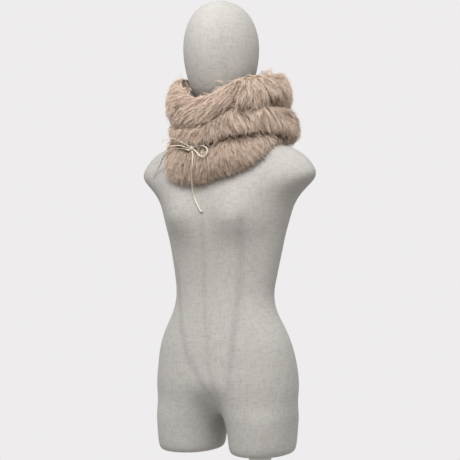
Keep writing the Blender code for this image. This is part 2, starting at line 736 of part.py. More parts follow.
def build_stand(collection, metal):
    """Round base under the body, off centre socket, pole, and the collar under the left thigh."""
    edge = BASE_RADIUS - BASE_ROUNDING
    top = BASE_THICKNESS
    plate = ((0.0, top), (edge, top), (BASE_RADIUS, top - BASE_ROUNDING), (BASE_RADIUS, 0.0), (0.0, 0.0))
    turned("stand_base", plate, 64, metal, collection, (0.0, 0.0, 0.0))
    foot = BASE_THICKNESS + SEAT_GAP
    hole = POLE_RADIUS + SEAT_GAP
    crown = foot + SOCKET_HEIGHT
    socket = (
        (hole, foot),
        (hole, crown),
        (SOCKET_RADIUS - 0.002, crown),
        (SOCKET_RADIUS, crown - 0.002),
        (SOCKET_RADIUS, foot),
        (hole, foot),
    )
    turned("stand_socket", socket, 32, metal, collection, (POLE_X, 0.0, 0.0))
    head = FORM_LIFT - SEAT_GAP
    pole = ((0.0, head), (POLE_RADIUS, head), (POLE_RADIUS, foot), (0.0, foot))
    turned("stand_pole", pole, 32, metal, collection, (POLE_X, 0.0, 0.0))
    cut = FORM_LIFT + THIGH_CUT_Z * MM - SEAT_GAP
    edge = 0.0015
    collar = (
        (0.0, cut),
        (COLLAR_RADIUS, cut),
        (COLLAR_RADIUS, FORM_LIFT + edge),
        (COLLAR_RADIUS - edge, FORM_LIFT),
        (0.0, FORM_LIFT),
    )
    turned("stand_collar", collar, 32, metal, collection, (POLE_X, 0.0, 0.0))


def main():
    """Builds the dress form, the wrap on it, its lace and the stand."""
    clear_scene()
    collection = make_collection("fur_collar_wrap_on_form")
    fur = make_material("fur", COLOURS["fur"], 0.9)
    lace = make_material("lace", COLOURS["lace"], 0.6)
    linen = make_material("linen", COLOURS["linen"], 0.85)
    metal = make_material("metal", COLOURS["metal"], 0.35, 1.0)
    origin = bpy.data.objects.new("form_origin", None)
    collection.objects.link(origin)
    origin.location = (0.0, 0.0, FORM_LIFT)
    build_stand(collection, metal)
    tree = build_form(collection, origin, linen)
    build_wrap(collection, origin, fur, tree)
    build_lace(collection, origin, lace)
    bpy.context.view_layer.update()


main()
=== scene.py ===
"""Looks of a fur collar wrap worn on a linen covered dress form, on a round stand.

Everything is in metres in the frame of the solids: +Z is up, -Y is the figure's front and +X its
left side. The wrap is three stretches of long pile fur on thin backings, the bow is a flat lace,
and the form is one smooth linen skin.
"""

import json
import logging
import math
from dataclasses import dataclass
from enum import Enum

import bmesh
import bpy
import numpy as np
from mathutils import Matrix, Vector
from mathutils.bvhtree import BVHTree

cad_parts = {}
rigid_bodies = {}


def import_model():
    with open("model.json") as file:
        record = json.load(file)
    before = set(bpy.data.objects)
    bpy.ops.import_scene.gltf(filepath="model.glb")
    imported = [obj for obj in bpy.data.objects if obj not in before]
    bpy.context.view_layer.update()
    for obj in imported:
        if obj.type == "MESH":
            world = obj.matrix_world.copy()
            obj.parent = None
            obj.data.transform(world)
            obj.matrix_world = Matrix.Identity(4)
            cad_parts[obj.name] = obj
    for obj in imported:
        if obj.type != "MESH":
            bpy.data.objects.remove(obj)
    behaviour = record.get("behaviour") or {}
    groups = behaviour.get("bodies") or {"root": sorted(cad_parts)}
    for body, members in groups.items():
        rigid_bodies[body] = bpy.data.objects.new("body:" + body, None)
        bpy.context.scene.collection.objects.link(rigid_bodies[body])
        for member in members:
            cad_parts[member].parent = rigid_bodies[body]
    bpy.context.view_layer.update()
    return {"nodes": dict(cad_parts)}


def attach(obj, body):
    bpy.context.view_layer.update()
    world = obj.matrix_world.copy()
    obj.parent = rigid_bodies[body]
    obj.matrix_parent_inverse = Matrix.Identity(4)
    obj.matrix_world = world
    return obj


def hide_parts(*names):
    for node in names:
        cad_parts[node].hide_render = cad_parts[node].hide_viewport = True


LOG = logging.getLogger("wrap")
MM = 0.001
SEED = 41

CAMERA_AZIMUTH = 28.0
CAMERA_DISTANCE = 3.0
CAMERA_HEIGHT = 0.574
CAMERA_SIDE = 0.0063
PHOTO_FIELD = 0.966
SENSOR = 36.0

WRAP_AXIS_Y = -0.008
RING_COUNT = 72
RING_DEGREES = 360.0 / RING_COUNT
WELD = 0.01 * MM
INWARD_LIMIT = -0.25
CURVE_STEPS = 12


class Stretch(Enum):
    """The stretches of the wrap, each named as its solid."""

    UPPER = "fur_upper"
    MIDDLE = "fur_middle"
    YOKE = "fur_yoke"


class LacePart(Enum):
    """The parts of the bow, each named as its solid."""

    LOOP_RIGHT = "lace_loop_right"
    LOOP_LEFT = "lace_loop_left"
    END_RIGHT = "lace_end_right"
    END_LEFT = "lace_end_left"


# Finishes


@dataclass(frozen=True)
class Finish:
    """A plain finish: base colour, roughness, metalness and cloth sheen."""

    name: str
    colour: tuple[float, float, float]
    roughness: float
    metallic: float = 0.0
    sheen: float = 0.0
    specular: float = 0.5

    def start(self) -> tuple[bpy.types.Material, bpy.types.ShaderNodeTree, bpy.types.Node]:
        """Make the material with its uniform values set on the shader's own sockets.

        Returns:
            The material, its node tree and its Principled node.
        """
        material = bpy.data.materials.new(self.name)
        material.use_nodes = True
        tree = material.node_tree
        shader = tree.nodes["Principled BSDF"]
        shader.inputs["Base Color"].default_value = (*self.colour, 1.0)
        shader.inputs["Roughness"].default_value = self.roughness
        shader.inputs["Metallic"].default_value = self.metallic
        shader.inputs["Sheen Weight"].default_value = self.sheen
        shader.inputs["Specular IOR Level"].default_value = self.specular
        return material, tree, shader


FUR = Finish("fur", (0.495, 0.392, 0.313), 0.62, sheen=0.25, specular=0.25)
BACKING = Finish("fur_backing", (0.485, 0.383, 0.304), 0.95, specular=0.1)
LACE = Finish("lace", (0.71, 0.655, 0.55), 0.8, sheen=0.15, specular=0.2)
LINEN = Finish("linen", (0.465, 0.448, 0.425), 0.92, sheen=0.1, specular=0.15)
METAL = Finish("metal", (0.62, 0.62, 0.61), 0.34, metallic=1.0)
FLOOR = Finish("floor", (0.40, 0.395, 0.395), 0.9, specular=0.1)

WEAVE_WAYS = ((0.16, 0.16, 1.0), (1.0, 1.0, 0.16))
SLUB_SCALE = 380.0
BUMP_STRENGTH = 0.6
LINEN_THREADS = 900.0
LINEN_DEPTH = 0.4 * MM
LINEN_PALE = 1.12
LINEN_DULL = 0.80
LINEN_STOPS = (0.30, 0.5, 0.72)
# Colour of the painted shade in the deepest trough of the form's lines.
TROUGH_SHADE_TONE = (0.86, 0.86, 0.87)
LACE_THREADS = 2200.0
LACE_DEPTH = 0.25 * MM
PILE_ALONG = ((0.0, (0.48, 0.36, 0.28)), (0.35, (0.82, 0.665, 0.55)), (1.0, (0.96, 0.815, 0.70)))
# Colour factor for each lock's own random colour together with the painted shade and painted light that the
# strands carry.
PILE_TONES = (
    (0.0, (0.36, 0.30, 0.26)),
    (0.22, (0.66, 0.61, 0.57)),
    (0.5, (0.88, 0.86, 0.84)),
    (1.0, (1.06, 1.05, 1.04)),
)
METAL_STREAKS = 260.0
METAL_SMOOTHER = 0.06
METAL_ROUGHER = 0.10


def add_node(tree: bpy.types.NodeTree, kind: str, **values: object) -> bpy.types.Node:
    """Add a node and set its properties.

    Args:
        tree: The tree that takes the node.
        kind: The node's type name.
        values: Properties to set on it.

    Returns:
        The new node.
    """
    node = tree.nodes.new(kind)
    for name, value in values.items():
        setattr(node, name, value)
    return node


def add_sockets(tree: bpy.types.NodeTree, way: str, **kinds: str) -> None:
    """Give a node group its named sockets.

    Args:
        tree: The group.
        way: INPUT or OUTPUT.
        kinds: The kind of each socket by its name.
    """
    for name, kind in kinds.items():
        tree.interface.new_socket(name, in_out=way, socket_type="NodeSocket" + kind)


def weave_group() -> bpy.types.NodeTree:
    """Make the shared node group of a plain weave with slubs.

    Returns:
        A group with a thread size in and a height and a tone out.
    """
    group = bpy.data.node_groups.new("weave", "ShaderNodeTree")
    add_sockets(group, "INPUT", Vector="Vector", Threads="Float")
    add_sockets(group, "OUTPUT", Height="Float", Tone="Float")
    inside = add_node(group, "NodeGroupInput")
    outside = add_node(group, "NodeGroupOutput")
    heights = []
    tones = []
    for way in WEAVE_WAYS:
        squeeze = add_node(group, "ShaderNodeVectorMath", operation="MULTIPLY")
        squeeze.inputs[1].default_value = way
        group.links.new(inside.outputs["Vector"], squeeze.inputs[0])
        threads = add_node(group, "ShaderNodeTexNoise")
        threads.inputs["Detail"].default_value = 1.5
        group.links.new(squeeze.outputs[0], threads.inputs["Vector"])
        group.links.new(inside.outputs["Threads"], threads.inputs["Scale"])
        heights.append(threads.outputs["Fac"])
        slubs = add_node(group, "ShaderNodeTexNoise")
        slubs.inputs["Scale"].default_value = SLUB_SCALE
        slubs.inputs["Detail"].default_value = 3.0
        group.links.new(squeeze.outputs[0], slubs.inputs["Vector"])
        tones.append(slubs.outputs["Fac"])
    for pair, name in ((heights, "Height"), (tones, "Tone")):
        total = add_node(group, "ShaderNodeMath", operation="ADD")
        half = add_node(group, "ShaderNodeMath", operation="MULTIPLY")
        half.inputs[1].default_value = 0.5
        group.links.new(pair[0], total.inputs[0])
        group.links.new(pair[1], total.inputs[1])
        group.links.new(total.outputs[0], half.inputs[0])
        group.links.new(half.outputs[0], outside.inputs[name])
    return group


def tone_ramp(
    tree: bpy.types.NodeTree, source: bpy.types.NodeSocket, stops: tuple
) -> bpy.types.NodeSocket:
    """Turn a value into a colour through a short ramp.

    Args:
        tree: The material's tree.
        source: The value that drives the ramp.
        stops: Pairs of a place and a colour.

    Returns:
        The ramp's colour socket.
    """
    ramp = add_node(tree, "ShaderNodeValToRGB")
    elements = ramp.color_ramp.elements
    while len(elements) < len(stops):
        elements.new(0.5)
    for element, (place, colour) in zip(elements, stops):
        element.position = place
        element.color = (*colour, 1.0)
    tree.links.new(source, ramp.inputs["Fac"])
    return ramp.outputs["Color"]


def multiply_colours(
    tree: bpy.types.NodeTree, first: bpy.types.NodeSocket, second: bpy.types.NodeSocket
) -> bpy.types.NodeSocket:
    """Multiply two colours.

    Args:
        tree: The material's tree.
        first: The colour that is changed.
        second: The colour that it is multiplied by.

    Returns:
        The product's socket.
    """
    mix = add_node(tree, "ShaderNodeMix", data_type="RGBA", blend_type="MULTIPLY")
    mix.inputs["Factor"].default_value = 1.0
    sockets = [socket for socket in mix.inputs if socket.type == "RGBA"]
    tree.links.new(first, sockets[0])
    tree.links.new(second, sockets[1])
    return next(socket for socket in mix.outputs if socket.type == "RGBA")


def add_bump(
    tree: bpy.types.NodeTree,
    shader: bpy.types.Node,
    height: bpy.types.NodeSocket,
    depth: float,
) -> None:
    """Link a height into the shader's normal.

    Args:
        tree: The material's tree.
        shader: The Principled node.
        height: The height's socket.
        depth: How far a full step of height stands, in metres.
    """
    bump = add_node(tree, "ShaderNodeBump")
    bump.inputs["Strength"].default_value = BUMP_STRENGTH
    bump.inputs["Distance"].default_value = depth
    tree.links.new(height, bump.inputs["Height"])
    tree.links.new(bump.outputs["Normal"], shader.inputs["Normal"])


def lay_weave(
    tree: bpy.types.NodeTree, weave: bpy.types.NodeTree, threads: float
) -> bpy.types.Node:
    """Put the weave into a material in the object's own coordinates.

    Args:
        tree: The material's tree.
        weave: The shared weave.
        threads: How fine the threads are.

    Returns:
        The weave's node.
    """
    place = add_node(tree, "ShaderNodeTexCoord")
    group = add_node(tree, "ShaderNodeGroup", node_tree=weave)
    group.inputs["Threads"].default_value = threads
    tree.links.new(place.outputs["Object"], group.inputs["Vector"])
    return group


def linen_material(weave: bpy.types.NodeTree) -> bpy.types.Material:
    """Pale linen: a fine weave with slubs, a faint unevenness of tone, and painted shade along the form's
    troughs and seams.
    """
    material, tree, shader = LINEN.start()
    group = lay_weave(tree, weave, LINEN_THREADS)
    pale = tuple(min(1.0, LINEN_PALE * part) for part in LINEN.colour)
    dull = tuple(LINEN_DULL * part for part in LINEN.colour)
    stops = tuple(zip(LINEN_STOPS, (dull, LINEN.colour, pale)))
    colour = tone_ramp(tree, group.outputs["Tone"], stops)
    # Painted shade along the troughs and seams that the form's lines press in.
    trough_shade = add_node(tree, "ShaderNodeAttribute", attribute_name="trough_shade")
    shade = tone_ramp(tree, trough_shade.outputs["Fac"], ((0.0, (1.0, 1.0, 1.0)), (1.0, TROUGH_SHADE_TONE)))
    tree.links.new(multiply_colours(tree, colour, shade), shader.inputs["Base Color"])
    add_bump(tree, shader, group.outputs["Height"], LINEN_DEPTH)
    return material


def lace_material(weave: bpy.types.NodeTree) -> bpy.types.Material:
    """Cream lace with the same weave at a finer scale."""
    material, tree, shader = LACE.start()
    group = lay_weave(tree, weave, LACE_THREADS)
    add_bump(tree, shader, group.outputs["Height"], LACE_DEPTH)
    return material


def fur_material() -> bpy.types.Material:
    """Long pile: dark at the root, pale at the tip, with each lock in its own tone, and painted shade in
    folds and pits and painted light on the inner side.
    """
    material, tree, shader = FUR.start()
    along = add_node(tree, "ShaderNodeAttribute", attribute_name="along")
    tone = add_node(tree, "ShaderNodeAttribute", attribute_name="tone")
    length = tone_ramp(tree, along.outputs["Fac"], PILE_ALONG)
    lock = tone_ramp(tree, tone.outputs["Fac"], PILE_TONES)
    tree.links.new(multiply_colours(tree, length, lock), shader.inputs["Base Color"])
    return material


def metal_material() -> bpy.types.Material:
    """Satin metal with fine streaks in its roughness."""
    material, tree, shader = METAL.start()
    place = add_node(tree, "ShaderNodeTexCoord")
    noise = add_node(tree, "ShaderNodeTexNoise")
    noise.inputs["Scale"].default_value = METAL_STREAKS
    noise.inputs["Detail"].default_value = 2.0
    tree.links.new(place.outputs["Object"], noise.inputs["Vector"])
    spread = add_node(tree, "ShaderNodeMapRange")
    spread.inputs["To Min"].default_value = METAL.roughness - METAL_SMOOTHER
    spread.inputs["To Max"].default_value = METAL.roughness + METAL_ROUGHER
    tree.links.new(noise.outputs["Fac"], spread.inputs["Value"])
    tree.links.new(spread.outputs["Result"], shader.inputs["Roughness"])
    return material


# Shared geometry


def add_piece(
    name: str, points: np.ndarray, faces: list, material: bpy.types.Material
) -> bpy.types.Object:
    """Make a smooth mesh object in the scene.

    Args:
        name: The object's name.
        points: The vertices, a row each.
        faces: The faces as vertex numbers.
        material: The material that it takes.

    Returns:
        The new object.
    """
    mesh = bpy.data.meshes.new(name)
    mesh.from_pydata(points.tolist(), [], faces)
    mesh.polygons.foreach_set("use_smooth", np.ones(len(mesh.polygons), dtype=bool))
    mesh.materials.append(material)
    mesh.update()
    piece = bpy.data.objects.new(name, mesh)
    bpy.context.scene.collection.objects.link(piece)
    return piece


def grid_faces(rows: int, columns: int, closed_columns: bool, closed_rows: bool) -> list:
    """List the quads of a grid whose points run row by row."""
    faces = []
    for row in range(rows if closed_rows else rows - 1):
        after = (row + 1) % rows
        for column in range(columns if closed_columns else columns - 1):
            following = (column + 1) % columns
            faces.append(
                (
                    row * columns + column,
                    after * columns + column,
                    after * columns + following,
                    row * columns + following,
                )
            )
    return faces


def periodic(values: np.ndarray, times: int) -> np.ndarray:
    """Refine a closed run of rows with a smooth curve through them.

    Args:
        values: Rows, the last of which leads back to the first.
        times: How many rows take the place of each.

    Returns:
        The refined rows.
    """
    before = np.roll(values, 1, axis=0)
    after = np.roll(values, -1, axis=0)
    later = np.roll(values, -2, axis=0)
    parts = []
    for step in range(times):
        t = step / times
        parts.append(
            0.5
            * (
                2 * values
                + (after - before) * t
                + (2 * before - 5 * values + 4 * after - later) * t**2
                + (3 * values - before - 3 * after + later) * t**3
            )
        )
    stacked = np.stack(parts, axis=1)
    return stacked.reshape((-1,) + values.shape[1:])


def way_along(line: np.ndarray) -> np.ndarray:
    """Measure how far each point is along its line."""
    return np.concatenate([[0], np.cumsum(np.linalg.norm(np.diff(line, axis=0), axis=1))])


def smooth_line(points: np.ndarray, count: int) -> np.ndarray:
    """Lay evenly spaced points on a smooth curve through a few.

    Args:
        points: The points to pass.
        count: How many points come back.

    Returns:
        The points, a row each.
    """
    padded = np.vstack([2 * points[0] - points[1], points, 2 * points[-1] - points[-2]])
    fine = []
    for index in range(1, len(padded) - 2):
        a, b, c, d = padded[index - 1 : index + 3]
        for step in range(CURVE_STEPS):
            t = step / CURVE_STEPS
            fine.append(
                0.5
                * (2 * b + (c - a) * t + (2 * a - 5 * b + 4 * c - d) * t**2 + (3 * b - a - 3 * c + d) * t**3)
            )
    fine.append(points[-1])
    fine = np.array(fine)
    lengths = way_along(fine)
    wanted = np.linspace(0, lengths[-1], count)
    return np.stack([np.interp(wanted, lengths, fine[:, axis]) for axis in range(3)], axis=1)


def unit(vectors: np.ndarray) -> np.ndarray:
    """Scale each row to length one."""
    return vectors / np.maximum(np.linalg.norm(vectors, axis=-1, keepdims=True), 1e-9)


def bearing(points: np.ndarray) -> np.ndarray:
    """Read the angle of points round the wrap's axis, in radians."""
    return np.arctan2(points[..., 1] - WRAP_AXIS_Y, points[..., 0])


def from_axis(points: np.ndarray) -> np.ndarray:
    """Point level and straight away from the wrap's axis, with length one."""
    return unit((points - [0, WRAP_AXIS_Y, 0]) * [1, 1, 0])


def read_vectors(mesh: bpy.types.Mesh, name: str) -> np.ndarray:
    """Read a place or a normal of each of a mesh's vertices, a row each."""
    values = np.zeros(len(mesh.vertices) * 3)
    mesh.vertices.foreach_get(name, values)
    return values.reshape(-1, 3)


def ring_loop(start: bmesh.types.BMVert, ring: set) -> list:
    """Walk round one ring of vertices along its edges."""
    loop = [start]
    while len(loop) < len(ring):
        near = [edge.other_vert(loop[-1]) for edge in loop[-1].link_edges]
        loop.append(next(vertex for vertex in near if vertex in ring and vertex not in loop))
    return loop


def solid_rings(node: bpy.types.Object) -> np.ndarray:
    """Read a fur solid back as rings round the wrap's axis.

    Args:
        node: The solid's object.

    Returns:
        An array of rings by points by place; each ring starts at its top, which is the vertex
        farthest out where several are as high, and runs down the outside first.
    """
    body = bmesh.new()
    body.from_mesh(node.data)
    bmesh.ops.remove_doubles(body, verts=body.verts, dist=WELD)
    turn = {v: math.degrees(math.atan2(v.co.y - WRAP_AXIS_Y, v.co.x)) for v in body.verts}
    ring = {vertex for vertex in body.verts if abs(turn[vertex]) < RING_DEGREES / 2}
    seen = set(ring)
    rings = []
    while ring:
        loop = ring_loop(max(ring, key=lambda vertex: vertex.co.zxy[:]), ring)
        place = np.array([vertex.co[:] for vertex in loop])
        radius = np.hypot(place[:, 0], place[:, 1] - WRAP_AXIS_Y)
        height = place[:, 2]
        area = np.sum(radius * np.roll(height, -1) - np.roll(radius, -1) * height)
        if area > 0:
            place = np.roll(place[::-1], 1, axis=0)
        if rings:
            shifts = [np.sum((np.roll(place, k, axis=0) - rings[-1]) ** 2) for k in range(len(place))]
            place = np.roll(place, int(np.argmin(shifts)), axis=0)
        rings.append(place)
        near = {edge.other_vert(vertex) for vertex in ring for edge in vertex.link_edges} - seen
        if len(rings) == 1:
            near = {vertex for vertex in near if turn[vertex] > 0}
        seen |= near
        ring = near
    body.free()
    return np.array(rings)


# Fur


@dataclass
class FurField:
    """How the pile of one stretch grows and lies.

    lean is a table of the angle round the wrap and how far the hair streams to the viewer's
    right for each step down.
    """

    locks: int
    length: float
    height: float
    inset: float
    lean: tuple[tuple[float, float], ...]
    strands: int = 8
    spread: float = 3.0 * MM
    inner_share: float = 0.25
    clump: float = 0.52
    hang: float = 60 * MM
    # shade is how dark the painted shade is at the top of the stretch, under the roll above.
    shade: float = 0.0


FIELDS = {
    Stretch.UPPER: FurField(
        locks=2450,
        length=31 * MM,
        height=6.0 * MM,
        inset=7.0 * MM,
        lean=((0, 0.2), (60, -0.1), (130, 0.3), (185, -0.2), (215, -1.5), (250, -1.7), (275, -1.5),
              (300, -0.8), (325, -0.2), (345, 0.3)),
        inner_share=0.45,
    ),
    Stretch.MIDDLE: FurField(
        locks=1600,
        length=27 * MM,
        height=5.0 * MM,
        inset=6.0 * MM,
        lean=((0, 0.5), (60, 0.1), (130, -0.2), (185, -0.3), (220, -0.8), (255, -0.25), (285, 0.0),
              (310, 0.1), (335, 0.4)),
        inner_share=0.08,
        hang=8 * MM,
        shade=0.45,
    ),
    Stretch.YOKE: FurField(
        locks=1600,
        length=23 * MM,
        height=3.0 * MM,
        inset=1.6 * MM,
        lean=((0, 0.3), (60, -0.1), (130, 0.1), (185, -0.2), (225, -0.3), (255, -0.25), (285, 0.05),
              (310, 0.45), (335, 0.5)),
        inner_share=0.0,
        hang=7.0 * MM,
        shade=0.75,
    ),
}


@dataclass
class FurStretch:
    """One stretch of the wrap: a thin backing and the pile that grows out of it."""

    stretch: Stretch
    node: bpy.types.Object
    pile: FurField
    ring_steps: int = 4
    side_steps: int = 3
    inset_share: float = 0.3

    def __post_init__(self) -> None:
        """Read the solid's rings and lay the backing inside them."""
        fine = periodic(solid_rings(self.node), self.ring_steps)
        fine = np.swapaxes(periodic(np.swapaxes(fine, 0, 1), self.side_steps), 0, 1)
        around = np.roll(fine, -1, axis=0) - np.roll(fine, 1, axis=0)
        down = np.roll(fine, -1, axis=1) - np.roll(fine, 1, axis=1)
        self.normal = unit(np.cross(down, around))
        depth = np.minimum(self.pile.inset, self.inset_share * self.thickness(fine))
        self.surface = fine - self.normal * depth[:, None, None]

    @staticmethod
    def thickness(fine: np.ndarray) -> np.ndarray:
        """Thickness of each ring's section: its area over half its way round."""
        following = np.roll(fine, -1, axis=1)
        centre = fine.mean(axis=1, keepdims=True)
        area = 0.5 * np.sum(np.linalg.norm(np.cross(fine - centre, following - centre), axis=-1), axis=1)
        around = np.sum(np.linalg.norm(following - fine, axis=-1), axis=1)
        return 2 * area / around

    def backing(self, material: bpy.types.Material) -> bpy.types.Object:
        """Make the backing's mesh."""
        rows, columns = self.surface.shape[:2]
        faces = grid_faces(rows, columns, True, True)
        return add_piece(self.stretch.value + "_backing", self.surface.reshape(-1, 3), faces, material)

    def roots(self, rng: np.random.Generator) -> tuple[np.ndarray, np.ndarray, np.ndarray]:
        """Scatter the locks' roots over the backing.

        Args:
            rng: The seeded source of chance.

        Returns:
            The roots, the outward normals there and how far each is above the lower edge.
        """
        points = self.surface
        across = np.roll(points, -1, axis=0) - points
        down = np.roll(points, -1, axis=1) - points
        area = np.linalg.norm(np.cross(across, down), axis=-1)
        outward = np.sum(self.normal * from_axis(points), axis=-1)
        weight = area * np.where(outward > INWARD_LIMIT, 1.0, self.pile.inner_share)
        share = np.cumsum(weight.ravel()) / weight.sum()
        count = self.pile.locks
        picks = np.searchsorted(share, (np.arange(count) + rng.random(count)) / count)
        rows, columns = np.unravel_index(np.minimum(picks, share.size - 1), area.shape)
        u = rng.random(len(rows))[:, None]
        v = rng.random(len(rows))[:, None]
        root = points[rows, columns] + across[rows, columns] * u + down[rows, columns] * v
        above = root[:, 2] - points[:, :, 2].min(axis=1)[rows]
        return root, self.normal[rows, columns], above

    def lower_edge(self, points: np.ndarray) -> np.ndarray:
        """Read the height of the stretch's lower edge at the points' angles round the wrap."""
        angle = np.degrees(bearing(self.surface.mean(axis=1))) % 360
        order = np.argsort(angle)
        low = self.surface[:, :, 2].min(axis=1)
        wanted = np.degrees(bearing(points)) % 360
        return np.interp(wanted, angle[order], low[order], period=360)

    def lean_at(self, angle: np.ndarray) -> np.ndarray:
        """Read the lean table at angles in degrees."""
        table = np.array(self.pile.lean)
        return np.interp(angle % 360, table[:, 0], table[:, 1], period=360)


def merge_trees(pieces: list) -> BVHTree:
    """Build one search tree over several mesh objects."""
    points = []
    faces = []
    for piece in pieces:
        base = len(points)
        points.extend(vertex.co.copy() for vertex in piece.data.vertices)
        faces.extend([base + index for index in face.vertices] for face in piece.data.polygons)
    return BVHTree.FromPolygons(points, faces)


EDGE_REACH = 25 * MM
RIM_LOW = ((292.0, 16.0), (222.0, 20.0))
INNER_RISE = 2.2
# Painted light on the hair that faces the head, which sits in shade inside the roll.
INNER_PAINTED_LIGHT = 0.35
INNER_ROOT_PAINTED_LIGHT = 0.7
# How far below the stretch above the painted fold shade reaches.
FOLD_REACH = 10 * MM
LOOSE_SHARE = 0.21
LOOSE_RISE = (4.0 * MM, 12.0 * MM)


@dataclass(frozen=True)
class PaintedShade:
    """Painted shade where the pile has a hollow, or painted light where its shade is below nothing.

    It has its angle round the wrap, its height and its size.
    """

    angle: float
    height: float
    size: float
    shade: float = 0.6
    radius: float = 0.125


# Painted shade over the pile's pits and creases, and at the end broad washes of painted shade and painted
# light that even out how the lamp falls.
PAINTED_SHADES = (
    PaintedShade(349.0, 0.833, 8 * MM),
    PaintedShade(340.0, 0.838, 6 * MM, 0.4),
    PaintedShade(315.0, 0.812, 7 * MM, 0.5),
    PaintedShade(335.0, 0.788, 10 * MM, 0.3),
    PaintedShade(354.0, 0.764, 9 * MM),
    PaintedShade(299.0, 0.758, 7 * MM, 0.5),
    PaintedShade(312.0, 0.763, 7 * MM, 0.5),
    PaintedShade(325.0, 0.766, 7 * MM, 0.5),
    PaintedShade(265.0, 0.741, 7 * MM, 0.5),
    PaintedShade(245.0, 0.819, 6 * MM, 0.4),
    PaintedShade(20.0, 0.800, 8 * MM),
    PaintedShade(75.0, 0.835, 8 * MM),
    PaintedShade(118.0, 0.770, 9 * MM, 0.5),
    PaintedShade(160.0, 0.815, 8 * MM, 0.5),
    PaintedShade(205.0, 0.765, 8 * MM, 0.5),
    PaintedShade(246.0, 0.838, 27 * MM, 0.26),
    PaintedShade(297.0, 0.842, 16 * MM, -0.15),
    PaintedShade(297.0, 0.786, 15 * MM, 0.14),
)


def facing_in(points: np.ndarray, normals: np.ndarray) -> np.ndarray:
    """Tell which points of the wrap look towards the head."""
    return np.sum(normals * from_axis(points), axis=1) < INWARD_LIMIT


